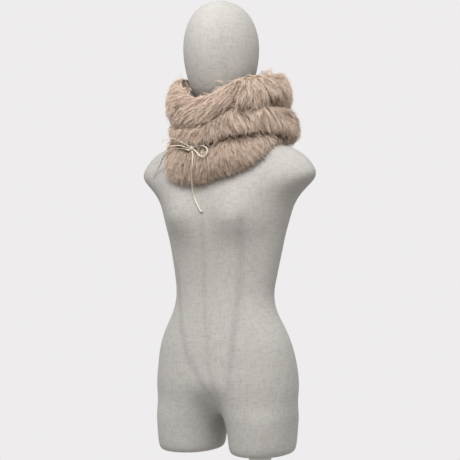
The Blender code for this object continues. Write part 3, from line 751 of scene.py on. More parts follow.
@dataclass
class PileGrower:
    """Grows locks over the wrap so that they follow it and keep off form and lace.

    A lock's length, hang and rise vary within their ranges, and a few locks stand proud. A lock
    starts out along its normal, turns into the flow, sags and settles on the surface. tree holds
    the surfaces that the locks lie on, and lace the points that they part for.
    """

    tree: BVHTree
    lace: np.ndarray
    seed: int
    steps: int = 4
    length_range: tuple[float, float] = (0.7, 1.25)
    hang_least: float = 0.3
    hang_more: float = 2.2
    rise_range: tuple[float, float] = (0.45, 1.35)
    proud_above: float = 0.93
    proud_rise: float = 4 * MM
    edge_rise: float = 0.3
    rim_press: float = 0.8
    turn_spread: float = 0.16
    wave_count: int = 6
    wave_rate: float = 60.0
    wave_climb: float = 0.5
    wave_fade: float = 0.25
    swirl_size: float = 0.32
    outward_pull: float = 0.35
    sag: float = 0.12
    keep_first: float = 0.25
    keep_later: float = 0.55
    keep_facing: float = 0.5
    early_rise: float = 1.35
    settle: float = 0.3
    lace_gap: float = 4.2 * MM
    lace_batch: int = 40
    gather_power: float = 0.8
    lift_spread: float = 0.85 * MM
    frizz: float = 0.75 * MM
    reach_range: tuple[float, float] = (0.65, 1.15)
    loose_reach: float = 0.6
    radius_range: tuple[float, float] = (0.26, 0.52)
    loose_radius: float = 0.85
    taper: tuple[float, ...] = (0.8, 1.0, 0.8, 0.2)
    lock_tone: tuple[float, float] = (0.56, 0.13)
    hair_tone: float = 0.12
    loose_tone: float = 0.12

    def __post_init__(self) -> None:
        """Start the seeded source of chance and draw the waves of the swirl."""
        self.rng = np.random.default_rng(self.seed)
        self.waves = self.rng.uniform(-1, 1, (self.wave_count, 4))

    def swirl(self, points: np.ndarray) -> np.ndarray:
        """Give a slow sideways wander of the hair's direction at points."""
        angle = bearing(points)
        total = np.zeros(len(points))
        for index, (a, b, c, d) in enumerate(self.waves):
            turns = 2 + 2 * index
            climb = self.wave_rate * (1 + index * self.wave_climb) * b
            wave = np.sin(turns * angle + climb * points[:, 2] + math.pi * (c + d))
            total += a / (1 + self.wave_fade * index) * wave
        return self.swirl_size * total

    def guides(self, fur: FurStretch) -> tuple[np.ndarray, np.ndarray]:
        """Walk each lock's centre line over the surface.

        Args:
            fur: The stretch that it grows on.

        Returns:
            The guides as locks by steps by point, and their outward normals.
        """
        rng = self.rng
        pile = fur.pile
        root, normal, above = fur.roots(rng)
        count = len(root)
        lengths = pile.length * rng.uniform(*self.length_range, count)
        hang = pile.hang * (self.hang_least + self.hang_more * rng.random(count) ** 3)
        lengths = np.minimum(lengths, above + hang)
        rise = pile.height * rng.uniform(*self.rise_range, count)
        rise += (rng.random(count) > self.proud_above) * self.proud_rise
        rise *= np.clip(above / EDGE_REACH, self.edge_rise, 1.0)
        place = np.degrees(bearing(root)) % 360
        for angle, wide in RIM_LOW:
            near = np.exp(-(((place - angle) / wide) ** 2))
            rise *= 1 - self.rim_press * near * np.clip(normal[:, 2], 0, 1)
        inward = facing_in(root, normal)
        rise = np.where(inward, rise * INNER_RISE, rise)
        lines = np.zeros((count, self.steps, 3))
        normals = np.zeros((count, self.steps, 3))
        lines[:, 0] = root
        normals[:, 0] = normal
        turn = rng.normal(0, self.turn_spread, count)
        here = root
        facing = normal
        heading = normal
        for step in range(1, self.steps):
            angle = bearing(here)
            side = np.stack([-np.sin(angle), np.cos(angle), np.zeros(count)], axis=1)
            outward = np.stack([np.cos(angle), np.sin(angle), np.zeros(count)], axis=1)
            lean = fur.lean_at(np.degrees(angle)) + self.swirl(here) + turn
            flow = np.array([0, 0, -1.0]) + side * lean[:, None] + outward * self.outward_pull
            flow = unit(flow - facing * np.sum(flow * facing, axis=1, keepdims=True))
            keep = self.keep_first if step == 1 else self.keep_later
            heading = unit(heading * keep + flow * (1 - keep) + np.array([0, 0, -self.sag]))
            share = step / (self.steps - 1)
            target = here + heading * (lengths / (self.steps - 1))[:, None]
            lift = rise * math.sin(min(1.0, share * self.early_rise) * math.pi / 2)
            moved = target.copy()
            turned = np.zeros_like(target)
            for index in range(count):
                co, near, _, _ = self.tree.find_nearest(Vector(target[index]))
                turned[index] = near
                height = float((Vector(target[index]) - co).dot(near))
                excess = height - lift[index]
                moved[index] -= turned[index] * (excess if excess < 0 else self.settle * excess)
            heading = unit(moved - here)
            facing = unit(self.keep_facing * facing + turned)
            here = moved
            lines[:, step] = here
            normals[:, step] = facing
        return lines, normals

    def part_for_lace(self, lines: np.ndarray, normals: np.ndarray) -> np.ndarray:
        """Press points that would cover the lace back towards the skin."""
        flat = lines.reshape(-1, 3)
        close = np.full(len(flat), 1.0)
        for start in range(0, len(self.lace), self.lace_batch):
            some = self.lace[start : start + self.lace_batch]
            gap = np.linalg.norm(flat[:, None, :] - some[None], axis=2).min(axis=1)
            close = np.minimum(close, gap)
        press = np.clip(1 - close / self.lace_gap, 0, 1)[:, None] * self.lace_gap
        return (flat - normals.reshape(-1, 3) * press).reshape(lines.shape)

    def strands(self, fur: FurStretch, over: FurStretch | None) -> dict[str, np.ndarray]:
        """Grow a stretch's pile.

        Args:
            fur: The stretch that it grows on.
            over: The stretch above, under whose lower edge painted shade darkens the top of this one.

        Returns:
            The strands' points, radii, tones and places along their length.
        """
        rng = self.rng
        pile = fur.pile
        lines, normals = self.guides(fur)
        lines = self.part_for_lace(lines, normals)
        count = len(lines)
        many = pile.strands
        lines = np.repeat(lines, many, axis=0)
        normals = np.repeat(normals, many, axis=0)
        share = np.linspace(0, 1, self.steps)[None, :, None]
        first = unit(lines[:, 1] - lines[:, 0])
        side = unit(np.cross(first, normals[:, 0]))
        total = count * many
        wide = rng.normal(0, pile.spread, (total, 1))
        long = rng.normal(0, pile.spread, (total, 1))
        offset = (side * wide + first * long)[:, None, :]
        gather = 1 - pile.clump * share**self.gather_power
        loose = (rng.random((total, 1)) < LOOSE_SHARE) * rng.uniform(*LOOSE_RISE, (total, 1))
        out = (rng.normal(0, self.lift_spread, (total, 1)) + loose)[:, None, :] * normals * share
        frizz = rng.normal(0, self.frizz, (total, self.steps, 3)) * share
        reach = rng.uniform(*self.reach_range, (total, 1, 1))
        reach = reach * np.where(loose > 0, self.loose_reach, 1.0)[:, None, :]
        points = lines[:, :1] + (lines - lines[:, :1]) * reach + offset * gather + out + frizz
        base = rng.uniform(*self.radius_range, (total, 1)) * MM
        radius = base * np.where(loose > 0, self.loose_radius, 1.0) * np.array(self.taper)[None, :]
        tone = np.repeat(np.clip(rng.normal(*self.lock_tone, count), 0, 1), many)[:, None]
        tone = tone + rng.normal(0, self.hair_tone, (total, 1))
        tone = tone - np.where(loose > 0, self.loose_tone, 0.0)
        # Painted light: hair that faces the head is made paler, where it would be in shade.
        inward = facing_in(lines[:, 0], normals[:, 0])[:, None]
        tone += INNER_PAINTED_LIGHT * inward
        tone = np.repeat(tone, self.steps, axis=1)
        # Painted shade: darken the pile just under the lower edge of the stretch above, where its roll would
        # cast shade.
        if over is not None:
            under = over.lower_edge(points) - points[..., 2]
            tone = tone - pile.shade * np.clip(1 - under / FOLD_REACH, 0, 1)
        # Paint the shade of the pits, and the broad washes of painted light and painted shade, into the
        # strands' colour.
        place = bearing(points)
        for patch in PAINTED_SHADES:
            turn = (place - math.radians(patch.angle) + math.pi) % (2 * math.pi) - math.pi
            gap = np.hypot(turn * patch.radius, points[..., 2] - patch.height)
            tone = tone - patch.shade * np.exp(-((gap / patch.size) ** 2))
        along = np.repeat(share[:, :, 0], total, axis=0)
        return {
            "points": points,
            "radius_out": radius,
            "tone": np.clip(tone, 0, 1),
            # Painted light: the roots of hair that faces the head are made as pale as its upper part.
            "along": np.where(inward, np.maximum(along, INNER_ROOT_PAINTED_LIGHT), along),
        }


STRAND_SIDES = 3
CURL_SCALE = 110.0


def strand_tree() -> bpy.types.GeometryNodeTree:
    """Make the tree that sweeps a thin three sided strand along each line of edges.

    Returns:
        The tree, with the strand's thickness, its sides, and a curl and its seed as inputs.
    """
    tree = bpy.data.node_groups.new("strands", "GeometryNodeTree")
    add_sockets(tree, "INPUT", Geometry="Geometry", Thickness="Float", Sides="Int")
    add_sockets(tree, "INPUT", Curl="Float", Seed="Float", Material="Material")
    add_sockets(tree, "OUTPUT", Geometry="Geometry")
    inside = add_node(tree, "NodeGroupInput")
    outside = add_node(tree, "NodeGroupOutput")
    along = add_node(tree, "GeometryNodeInputNamedAttribute", data_type="FLOAT")
    along.inputs["Name"].default_value = "along"
    noise = add_node(tree, "ShaderNodeTexNoise", noise_dimensions="4D")
    noise.inputs["Scale"].default_value = CURL_SCALE
    noise.inputs["Detail"].default_value = 1.0
    centred = add_node(tree, "ShaderNodeVectorMath", operation="SUBTRACT")
    centred.inputs[1].default_value = (0.5, 0.5, 0.5)
    amount = add_node(tree, "ShaderNodeMath", operation="MULTIPLY")
    scaled = add_node(tree, "ShaderNodeVectorMath", operation="SCALE")
    move = add_node(tree, "GeometryNodeSetPosition")
    curve = add_node(tree, "GeometryNodeMeshToCurve")
    radius = add_node(tree, "GeometryNodeInputNamedAttribute", data_type="FLOAT")
    radius.inputs["Name"].default_value = "radius_out"
    thick = add_node(tree, "ShaderNodeMath", operation="MULTIPLY")
    width = add_node(tree, "GeometryNodeSetCurveRadius")
    circle = add_node(tree, "GeometryNodeCurvePrimitiveCircle")
    circle.inputs["Radius"].default_value = 1.0
    sweep = add_node(tree, "GeometryNodeCurveToMesh")
    realize = add_node(tree, "GeometryNodeRealizeInstances")
    dress = add_node(tree, "GeometryNodeSetMaterial")
    link = tree.links.new
    link(inside.outputs["Seed"], noise.inputs["W"])
    link(noise.outputs["Color"], centred.inputs[0])
    link(inside.outputs["Curl"], amount.inputs[0])
    link(along.outputs["Attribute"], amount.inputs[1])
    link(centred.outputs[0], scaled.inputs[0])
    link(amount.outputs[0], scaled.inputs["Scale"])
    link(inside.outputs["Geometry"], move.inputs["Geometry"])
    link(scaled.outputs[0], move.inputs["Offset"])
    link(move.outputs["Geometry"], curve.inputs["Mesh"])
    link(curve.outputs["Curve"], width.inputs["Curve"])
    link(radius.outputs["Attribute"], thick.inputs[0])
    link(inside.outputs["Thickness"], thick.inputs[1])
    link(thick.outputs[0], width.inputs["Radius"])
    link(inside.outputs["Sides"], circle.inputs["Resolution"])
    link(width.outputs["Curve"], sweep.inputs["Curve"])
    link(circle.outputs["Curve"], sweep.inputs["Profile Curve"])
    if "Scale" in sweep.inputs:
        link(thick.outputs[0], sweep.inputs["Scale"])
    link(sweep.outputs["Mesh"], realize.inputs["Geometry"])
    link(realize.outputs["Geometry"], dress.inputs["Geometry"])
    link(inside.outputs["Material"], dress.inputs["Material"])
    link(dress.outputs["Geometry"], outside.inputs["Geometry"])
    return tree


def sweep_strands(
    name: str,
    strands: dict[str, np.ndarray],
    tree: bpy.types.GeometryNodeTree,
    material: bpy.types.Material,
    curl: float,
) -> bpy.types.Object:
    """Turn strands into one plain mesh through the strand tree.

    Args:
        name: The piece's name.
        strands: Points, radii, tones and places along the length.
        tree: The tree that sweeps them.
        material: The fur's material.
        curl: How far the tips wander, in metres.

    Returns:
        The finished piece.
    """
    points = strands["points"]
    count, steps = points.shape[:2]
    mesh = bpy.data.meshes.new(name + "_lines")
    index = np.arange(count * steps).reshape(count, steps)
    edges = np.stack([index[:, :-1].ravel(), index[:, 1:].ravel()], axis=1)
    mesh.vertices.add(count * steps)
    mesh.vertices.foreach_set("co", points.ravel())
    mesh.edges.add(len(edges))
    mesh.edges.foreach_set("vertices", edges.ravel())
    for label in ("radius_out", "tone", "along"):
        layer = mesh.attributes.new(label, "FLOAT", "POINT")
        layer.data.foreach_set("value", strands[label].ravel())
    mesh.update()
    source = bpy.data.objects.new(name + "_lines", mesh)
    bpy.context.scene.collection.objects.link(source)
    modifier = source.modifiers.new("strands", "NODES")
    modifier.node_group = tree
    inputs = {item.name: item.identifier for item in tree.interface.items_tree if item.in_out == "INPUT"}
    modifier[inputs["Thickness"]] = 1.0
    modifier[inputs["Sides"]] = STRAND_SIDES
    modifier[inputs["Curl"]] = curl
    modifier[inputs["Seed"]] = float(SEED)
    modifier[inputs["Material"]] = material
    graph = bpy.context.evaluated_depsgraph_get()
    swept = bpy.data.meshes.new_from_object(source.evaluated_get(graph), depsgraph=graph)
    source.modifiers.remove(modifier)
    bpy.data.objects.remove(source)
    swept.name = name
    swept.polygons.foreach_set("use_smooth", np.ones(len(swept.polygons), dtype=bool))
    piece = bpy.data.objects.new(name, swept)
    bpy.context.scene.collection.objects.link(piece)
    return piece


# Lace


LACE_WIDTH = 3.6 * MM
LACE_THICK = 1.3 * MM
FORM_LIFT = 0.097
ROUGH_POINTS = 60
FEWEST_POINTS = 12


@dataclass
class LaceRun:
    """One visible run of the flat lace, from the knot outward."""

    part: LacePart
    route: tuple
    far_end: str
    lay: str

    def line(self, spacing: float) -> np.ndarray:
        """Lay evenly spaced points along the run, in the solids' frame."""
        lifted = np.array(self.route) + [0.0, 0.0, FORM_LIFT]
        length = way_along(smooth_line(lifted, ROUGH_POINTS))[-1]
        return smooth_line(lifted, max(FEWEST_POINTS, round(length / spacing)))


KNOT = (-0.0135, -0.1255, 0.7400)
KNOT_HALVES = (5.2 * MM, 4.2 * MM, 4.9 * MM)
LOOP_RIGHT_ROUTE = (
    (-0.0189, -0.1255, 0.6464),
    (-0.0235, -0.1260, 0.6490),
    (-0.0315, -0.1252, 0.6523),
    (-0.0438, -0.1213, 0.6582),
    (-0.0640, -0.1098, 0.6650),
    (-0.0833, -0.1000, 0.6655),
    (-0.0965, -0.0965, 0.6628),
    (-0.1011, -0.0967, 0.6575),
    (-0.0955, -0.0983, 0.6522),
    (-0.0823, -0.1022, 0.6500),
    (-0.0654, -0.1110, 0.6502),
    (-0.0437, -0.1205, 0.6492),
    (-0.0290, -0.1243, 0.6455),
    (-0.0196, -0.1240, 0.6424),
)
LOOP_LEFT_ROUTE = (
    (-0.0082, -0.1260, 0.6456),
    (-0.0010, -0.1262, 0.6470),
    (0.0098, -0.1265, 0.6474),
    (0.0184, -0.1258, 0.6445),
    (0.0220, -0.1252, 0.6380),
    (0.0198, -0.1260, 0.6300),
    (0.0128, -0.1275, 0.6255),
    (0.0050, -0.1287, 0.6278),
    (-0.0010, -0.1284, 0.6346),
    (-0.0083, -0.1275, 0.6402),
)
END_RIGHT_ROUTE = (
    (-0.0184, -0.1266, 0.6384),
    (-0.0240, -0.1250, 0.6400),
    (-0.0362, -0.1199, 0.6428),
    (-0.0482, -0.1142, 0.6440),
    (-0.0612, -0.1084, 0.6444),
    (-0.0743, -0.1008, 0.6430),
    (-0.0860, -0.0930, 0.6407),
    (-0.0957, -0.0888, 0.6366),
    (-0.1040, -0.0845, 0.6304),
    (-0.1115, -0.0788, 0.6240),
    (-0.1190, -0.0724, 0.6160),
    (-0.1258, -0.0677, 0.6100),
    (-0.1316, -0.0647, 0.6035),
    (-0.1380, -0.0622, 0.5965),
    (-0.1435, -0.0606, 0.5890),
)
END_LEFT_ROUTE = (
    (-0.0128, -0.1270, 0.6372),
    (-0.0112, -0.1274, 0.6325),
    (-0.0105, -0.1274, 0.6274),
    (-0.0112, -0.1276, 0.6200),
    (-0.0118, -0.1274, 0.6128),
    (-0.0138, -0.1250, 0.6003),
    (-0.0168, -0.1200, 0.5880),
    (-0.0198, -0.1146, 0.5739),
    (-0.0218, -0.1080, 0.5593),
    (-0.0213, -0.1022, 0.5445),
    (-0.0143, -0.1022, 0.5297),
    (-0.0071, -0.1022, 0.5172),
    (-0.0020, -0.1018, 0.5147),
)
LACE_RUNS = (
    LaceRun(LacePart.LOOP_RIGHT, LOOP_RIGHT_ROUTE, "object", "loose"),
    LaceRun(LacePart.LOOP_LEFT, LOOP_LEFT_ROUTE, "object", "loose"),
    LaceRun(LacePart.END_RIGHT, END_RIGHT_ROUTE, "bare", "hanging"),
    LaceRun(LacePart.END_LEFT, END_LEFT_ROUTE, "bare", "hanging"),
)


def squared(values: np.ndarray, power: float) -> np.ndarray:
    """Push sines or cosines out to their ends, which squares off a round section."""
    return np.sign(values) * np.abs(values) ** power


@dataclass
class Bow:
    """The lace's bow: two loops, two ends and the knot between them.

    A grid is steps along by steps round. The band is the turn of lace wound round the knot.
    """

    material: bpy.types.Material
    spacing: float = 1.6 * MM
    sides: int = 10
    outward_rise: float = 0.35
    twist_rounds: int = 3
    edge_power: float = 0.7
    face_power: float = 0.8
    knot_grid: tuple[int, int] = (12, 20)
    waist_depth: float = 0.2
    waist_width: float = 0.4
    band_grid: tuple[int, int] = (26, 8)
    band_reach: float = 0.93
    band_thick: float = 0.16
    band_half: float = 1.7 * MM
    band_slant: float = 0.9 * MM

    def __post_init__(self) -> None:
        """Lay out the lace's lines."""
        self.lines = {run.part: run.line(self.spacing) for run in LACE_RUNS}

    def all_points(self) -> np.ndarray:
        """Every point of the lace's lines."""
        return np.vstack(list(self.lines.values()))

    def ribbon(self, run: LaceRun) -> bpy.types.Object:
        """Sweep one run as a flat rounded ribbon.

        Args:
            run: The run to sweep.

        Returns:
            The ribbon.
        """
        line = self.lines[run.part]
        along = unit(np.gradient(line, axis=0))
        outward = unit(line - [0.0, WRAP_AXIS_Y, 0.0])
        outward[:, 2] = self.outward_rise
        wide = unit(np.cross(along, unit(outward)))
        for index in range(1, len(wide)):
            if wide[index] @ wide[index - 1] < 0:
                wide[index] = -wide[index]
        for _ in range(self.twist_rounds):
            wide[1:-1] = unit(wide[:-2] + 2 * wide[1:-1] + wide[2:])
        high = unit(np.cross(wide, along))
        turns = np.arange(self.sides) * 2 * math.pi / self.sides
        across = squared(np.cos(turns), self.edge_power) * LACE_WIDTH / 2
        up = squared(np.sin(turns), self.face_power) * LACE_THICK / 2
        points = line[:, None] + wide[:, None] * across[None, :, None] + high[:, None] * up[None, :, None]
        rows = len(line)
        flat = np.vstack([points.reshape(-1, 3), line[:1], line[-1:]])
        faces = [tuple(reversed(face)) for face in grid_faces(rows, self.sides, True, False)]
        for side in range(self.sides):
            after = (side + 1) % self.sides
            faces.append((rows * self.sides, after, side))
            last = (rows - 1) * self.sides
            faces.append((rows * self.sides + 1, last + side, last + after))
        piece = add_piece(run.part.value + "_flat", flat, faces, self.material)
        outward_faces(piece)
        return piece

    def knot(self) -> bpy.types.Object:
        """Make the knot: a small pillow with the lace wound once round its middle."""
        rows, columns = self.knot_grid
        lat = np.linspace(-0.5, 0.5, rows) * math.pi
        lon = np.arange(columns) * 2 * math.pi / columns
        waist = 1 - self.waist_depth * np.exp(-((np.sin(lat) / self.waist_width) ** 2))[:, None]
        pillow = np.stack(
            [
                np.sin(lat)[:, None] * np.ones(columns) * KNOT_HALVES[0],
                np.cos(lat)[:, None] * waist * np.cos(lon) * KNOT_HALVES[1],
                np.cos(lat)[:, None] * waist * np.sin(lon) * KNOT_HALVES[2],
            ],
            axis=-1,
        ).reshape(-1, 3)
        faces = grid_faces(rows, columns, True, False)
        steps, sides = self.band_grid
        turn = np.arange(steps)[:, None] * 2 * math.pi / steps
        round_it = np.arange(sides)[None, :] * 2 * math.pi / sides
        reach = self.band_reach + self.band_thick * np.sin(round_it)
        band = np.stack(
            [
                self.band_half * np.cos(round_it) + self.band_slant * np.sin(turn),
                KNOT_HALVES[1] * reach * np.cos(turn),
                KNOT_HALVES[2] * reach * np.sin(turn),
            ],
            axis=-1,
        ).reshape(-1, 3)
        faces += [tuple(len(pillow) + i for i in face) for face in grid_faces(steps, sides, True, True)]
        piece = add_piece("lace_knot_wound", np.vstack([pillow, band]) + KNOT, faces, self.material)
        outward_faces(piece)
        return piece

    def build(self) -> None:
        """Make every piece of the bow, attach each one and hide the solid that it stands for."""
        knot = self.knot()
        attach(knot, "root")
        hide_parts("lace_knot")
        for run in LACE_RUNS:
            ribbon = self.ribbon(run)
            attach(ribbon, "root")
            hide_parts(run.part.value)


# Form and stand


@dataclass(frozen=True)
class FormLine:
    """A soft trough down the form: height and place across, from the top down.

    side is 1 on the front and -1 on the back, and mirrors lists the sides of the middle that it
    runs on.
    """

    places: tuple[tuple[float, float], ...]
    depth: float
    width: float
    side: int = 1
    mirrors: tuple[int, ...] = (1,)
    fade: float = 0.04


FORM_LINES = (
    FormLine(
        ((0.62, -0.004), (0.51, -0.010), (0.43, -0.010), (0.35, 0.001), (0.29, 0.012), (0.22, 0.028)),
        depth=0.8 * MM,
        width=5.0 * MM,
    ),
    FormLine(
        ((0.63, 0.085), (0.53, 0.072), (0.43, 0.063), (0.35, 0.060), (0.23, 0.054)),
        depth=1.0 * MM,
        width=7.5 * MM,
    ),
    FormLine(
        ((0.51, -0.089), (0.427, -0.082), (0.367, -0.064), (0.317, -0.045), (0.268, -0.013), (0.21, 0.026)),
        depth=1.1 * MM,
        width=7.5 * MM,
    ),
    FormLine(
        ((1.06, 0.020), (1.0, 0.038), (0.96, 0.044), (0.87, 0.044)),
        depth=0.4 * MM,
        width=4.5 * MM,
        fade=0.02,
    ),
    FormLine(((0.74, 0.0), (0.40, 0.0), (0.22, 0.0)), depth=0.9 * MM, width=5.0 * MM, side=-1),
    FormLine(
        ((0.66, 0.075), (0.50, 0.062), (0.40, 0.060), (0.24, 0.078)),
        depth=0.7 * MM,
        width=6.0 * MM,
        side=-1,
        mirrors=(-1, 1),
    ),
)
# Trough depth at which the painted shade is full.
LINE_DEEPEST = 1.1 * MM


@dataclass
class DressForm:
    """The linen skin that stands for the form's four solids.

    It is rounded off within fork_half of the fork, which is given across and in height, and
    less so within joint_half of the fork's height all round.
    """

    material: bpy.types.Material
    nodes: tuple[str, ...] = ("form_torso", "form_head", "form_thigh_left", "form_thigh_right")
    voxel: float = 5.2 * MM
    smoothing: int = 9
    fork: tuple[float, float] = (0.0, 0.216)
    fork_half: tuple[float, float] = (0.062, 0.034)
    joint_half: float = 0.014
    joint_share: float = 0.6
    rounding: int = 110
    ease: float = 0.5
    facing_gain: float = 2.5
    facing_from: float = 0.2

    def round_fork(self, mesh: bpy.types.Mesh) -> None:
        """Round the skin off where the thighs part and where they meet the torso.

        Args:
            mesh: The skin's mesh.
        """
        points = read_vectors(mesh, "co")
        count = len(points)
        edges = np.zeros(len(mesh.edges) * 2, dtype=np.int64)
        mesh.edges.foreach_get("vertices", edges)
        ends = edges.reshape(-1, 2)
        here = np.concatenate([ends[:, 0], ends[:, 1]])
        there = np.concatenate([ends[:, 1], ends[:, 0]])
        links = np.maximum(np.bincount(here, minlength=count), 1)
        away = ((points[:, 0] - self.fork[0]) / self.fork_half[0]) ** 2
        away += ((points[:, 2] - self.fork[1]) / self.fork_half[1]) ** 2
        joint = np.exp(-(((points[:, 2] - self.fork[1]) / self.joint_half) ** 2))
        weight = self.ease * np.maximum(np.exp(-away), self.joint_share * joint)[:, None]
        for _ in range(self.rounding):
            sums = [np.bincount(here, points[there, axis], count) for axis in range(3)]
            points = points + weight * (np.stack(sums, axis=1) / links[:, None] - points)
        mesh.vertices.foreach_set("co", points.ravel())
        mesh.update()

    def relief(self, mesh: bpy.types.Mesh) -> None:
        """Press the linen's seams and the soft lines of the belly into the skin, and keep their depth as
        painted shade for the linen.

        Args:
            mesh: The skin's mesh.
        """
        points = read_vectors(mesh, "co")
        normals = read_vectors(mesh, "normal")
        depth = np.zeros(len(points))
        for line in FORM_LINES:
            table = np.array(line.places)
            centre = np.interp(points[:, 2], table[::-1, 0], table[::-1, 1])
            inside = (points[:, 2] - table[-1, 0]) / line.fade
            outside = (table[0, 0] - points[:, 2]) / line.fade
            ends = np.clip(inside, 0, 1) * np.clip(outside, 0, 1)
            forward = -normals[:, 1] * line.side
            facing = np.clip(forward * self.facing_gain - self.facing_from, 0, 1)
            for mirror in line.mirrors:
                near = (points[:, 0] - mirror * centre) / line.width
                depth += line.depth * np.exp(-near * near) * ends * facing
        mesh.vertices.foreach_set("co", (points - normals * depth[:, None]).ravel())
        # Painted shade: the deeper a point lies in a trough, the darker the linen is painted there.
        trough_shade = mesh.attributes.new("trough_shade", "FLOAT", "POINT")
        trough_shade.data.foreach_set("value", np.clip(depth / LINE_DEEPEST, 0, 1))
        mesh.update()

    def build(self) -> bpy.types.Object:
        """Join the solids into one closed skin and smooth its seams.

        Returns:
            The skin.
        """
        body = bmesh.new()
        for name in self.nodes:
            body.from_mesh(frame["nodes"][name].data)
        bmesh.ops.remove_doubles(body, verts=body.verts, dist=WELD)
        mesh = bpy.data.meshes.new("form_skin_rough")
        body.to_mesh(mesh)
        body.free()
        rough = bpy.data.objects.new("form_skin_rough", mesh)
        bpy.context.scene.collection.objects.link(rough)
        remesh = rough.modifiers.new("remesh", "REMESH")
        remesh.mode = "VOXEL"
        remesh.voxel_size = self.voxel
        smooth = rough.modifiers.new("smooth", "SMOOTH")
        smooth.factor = self.ease
        smooth.iterations = self.smoothing
        graph = bpy.context.evaluated_depsgraph_get()
        skin_mesh = bpy.data.meshes.new_from_object(rough.evaluated_get(graph), depsgraph=graph)
        bpy.data.objects.remove(rough)
        self.round_fork(skin_mesh)
        self.relief(skin_mesh)
        skin_mesh.name = "form_skin"
        skin_mesh.materials.clear()
        skin_mesh.materials.append(self.material)
        skin_mesh.polygons.foreach_set("use_smooth", np.ones(len(skin_mesh.polygons), dtype=bool))
        skin = bpy.data.objects.new("form_skin", skin_mesh)
        bpy.context.scene.collection.objects.link(skin)
        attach(skin, "root")
        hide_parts(*self.nodes)
        return skin


@dataclass
class Stand:
    """The metal stand: its solids keep their shape and take a satin finish."""

    nodes: tuple[str, ...] = ("stand_base", "stand_socket", "stand_pole", "stand_collar")

    def dress(self, material: bpy.types.Material) -> None:
        """Give the solids the metal."""
        for name in self.nodes:
            for slot in frame["nodes"][name].material_slots:
                slot.material = material


def outward_faces(piece: bpy.types.Object) -> None:
    """Turn a piece's faces so that they look outward."""
    body = bmesh.new()
    body.from_mesh(piece.data)
    bmesh.ops.recalc_face_normals(body, faces=body.faces)
    if body.calc_volume(signed=True) < 0:
        bmesh.ops.reverse_faces(body, faces=body.faces)
    body.to_mesh(piece.data)
    body.free()


# Studio


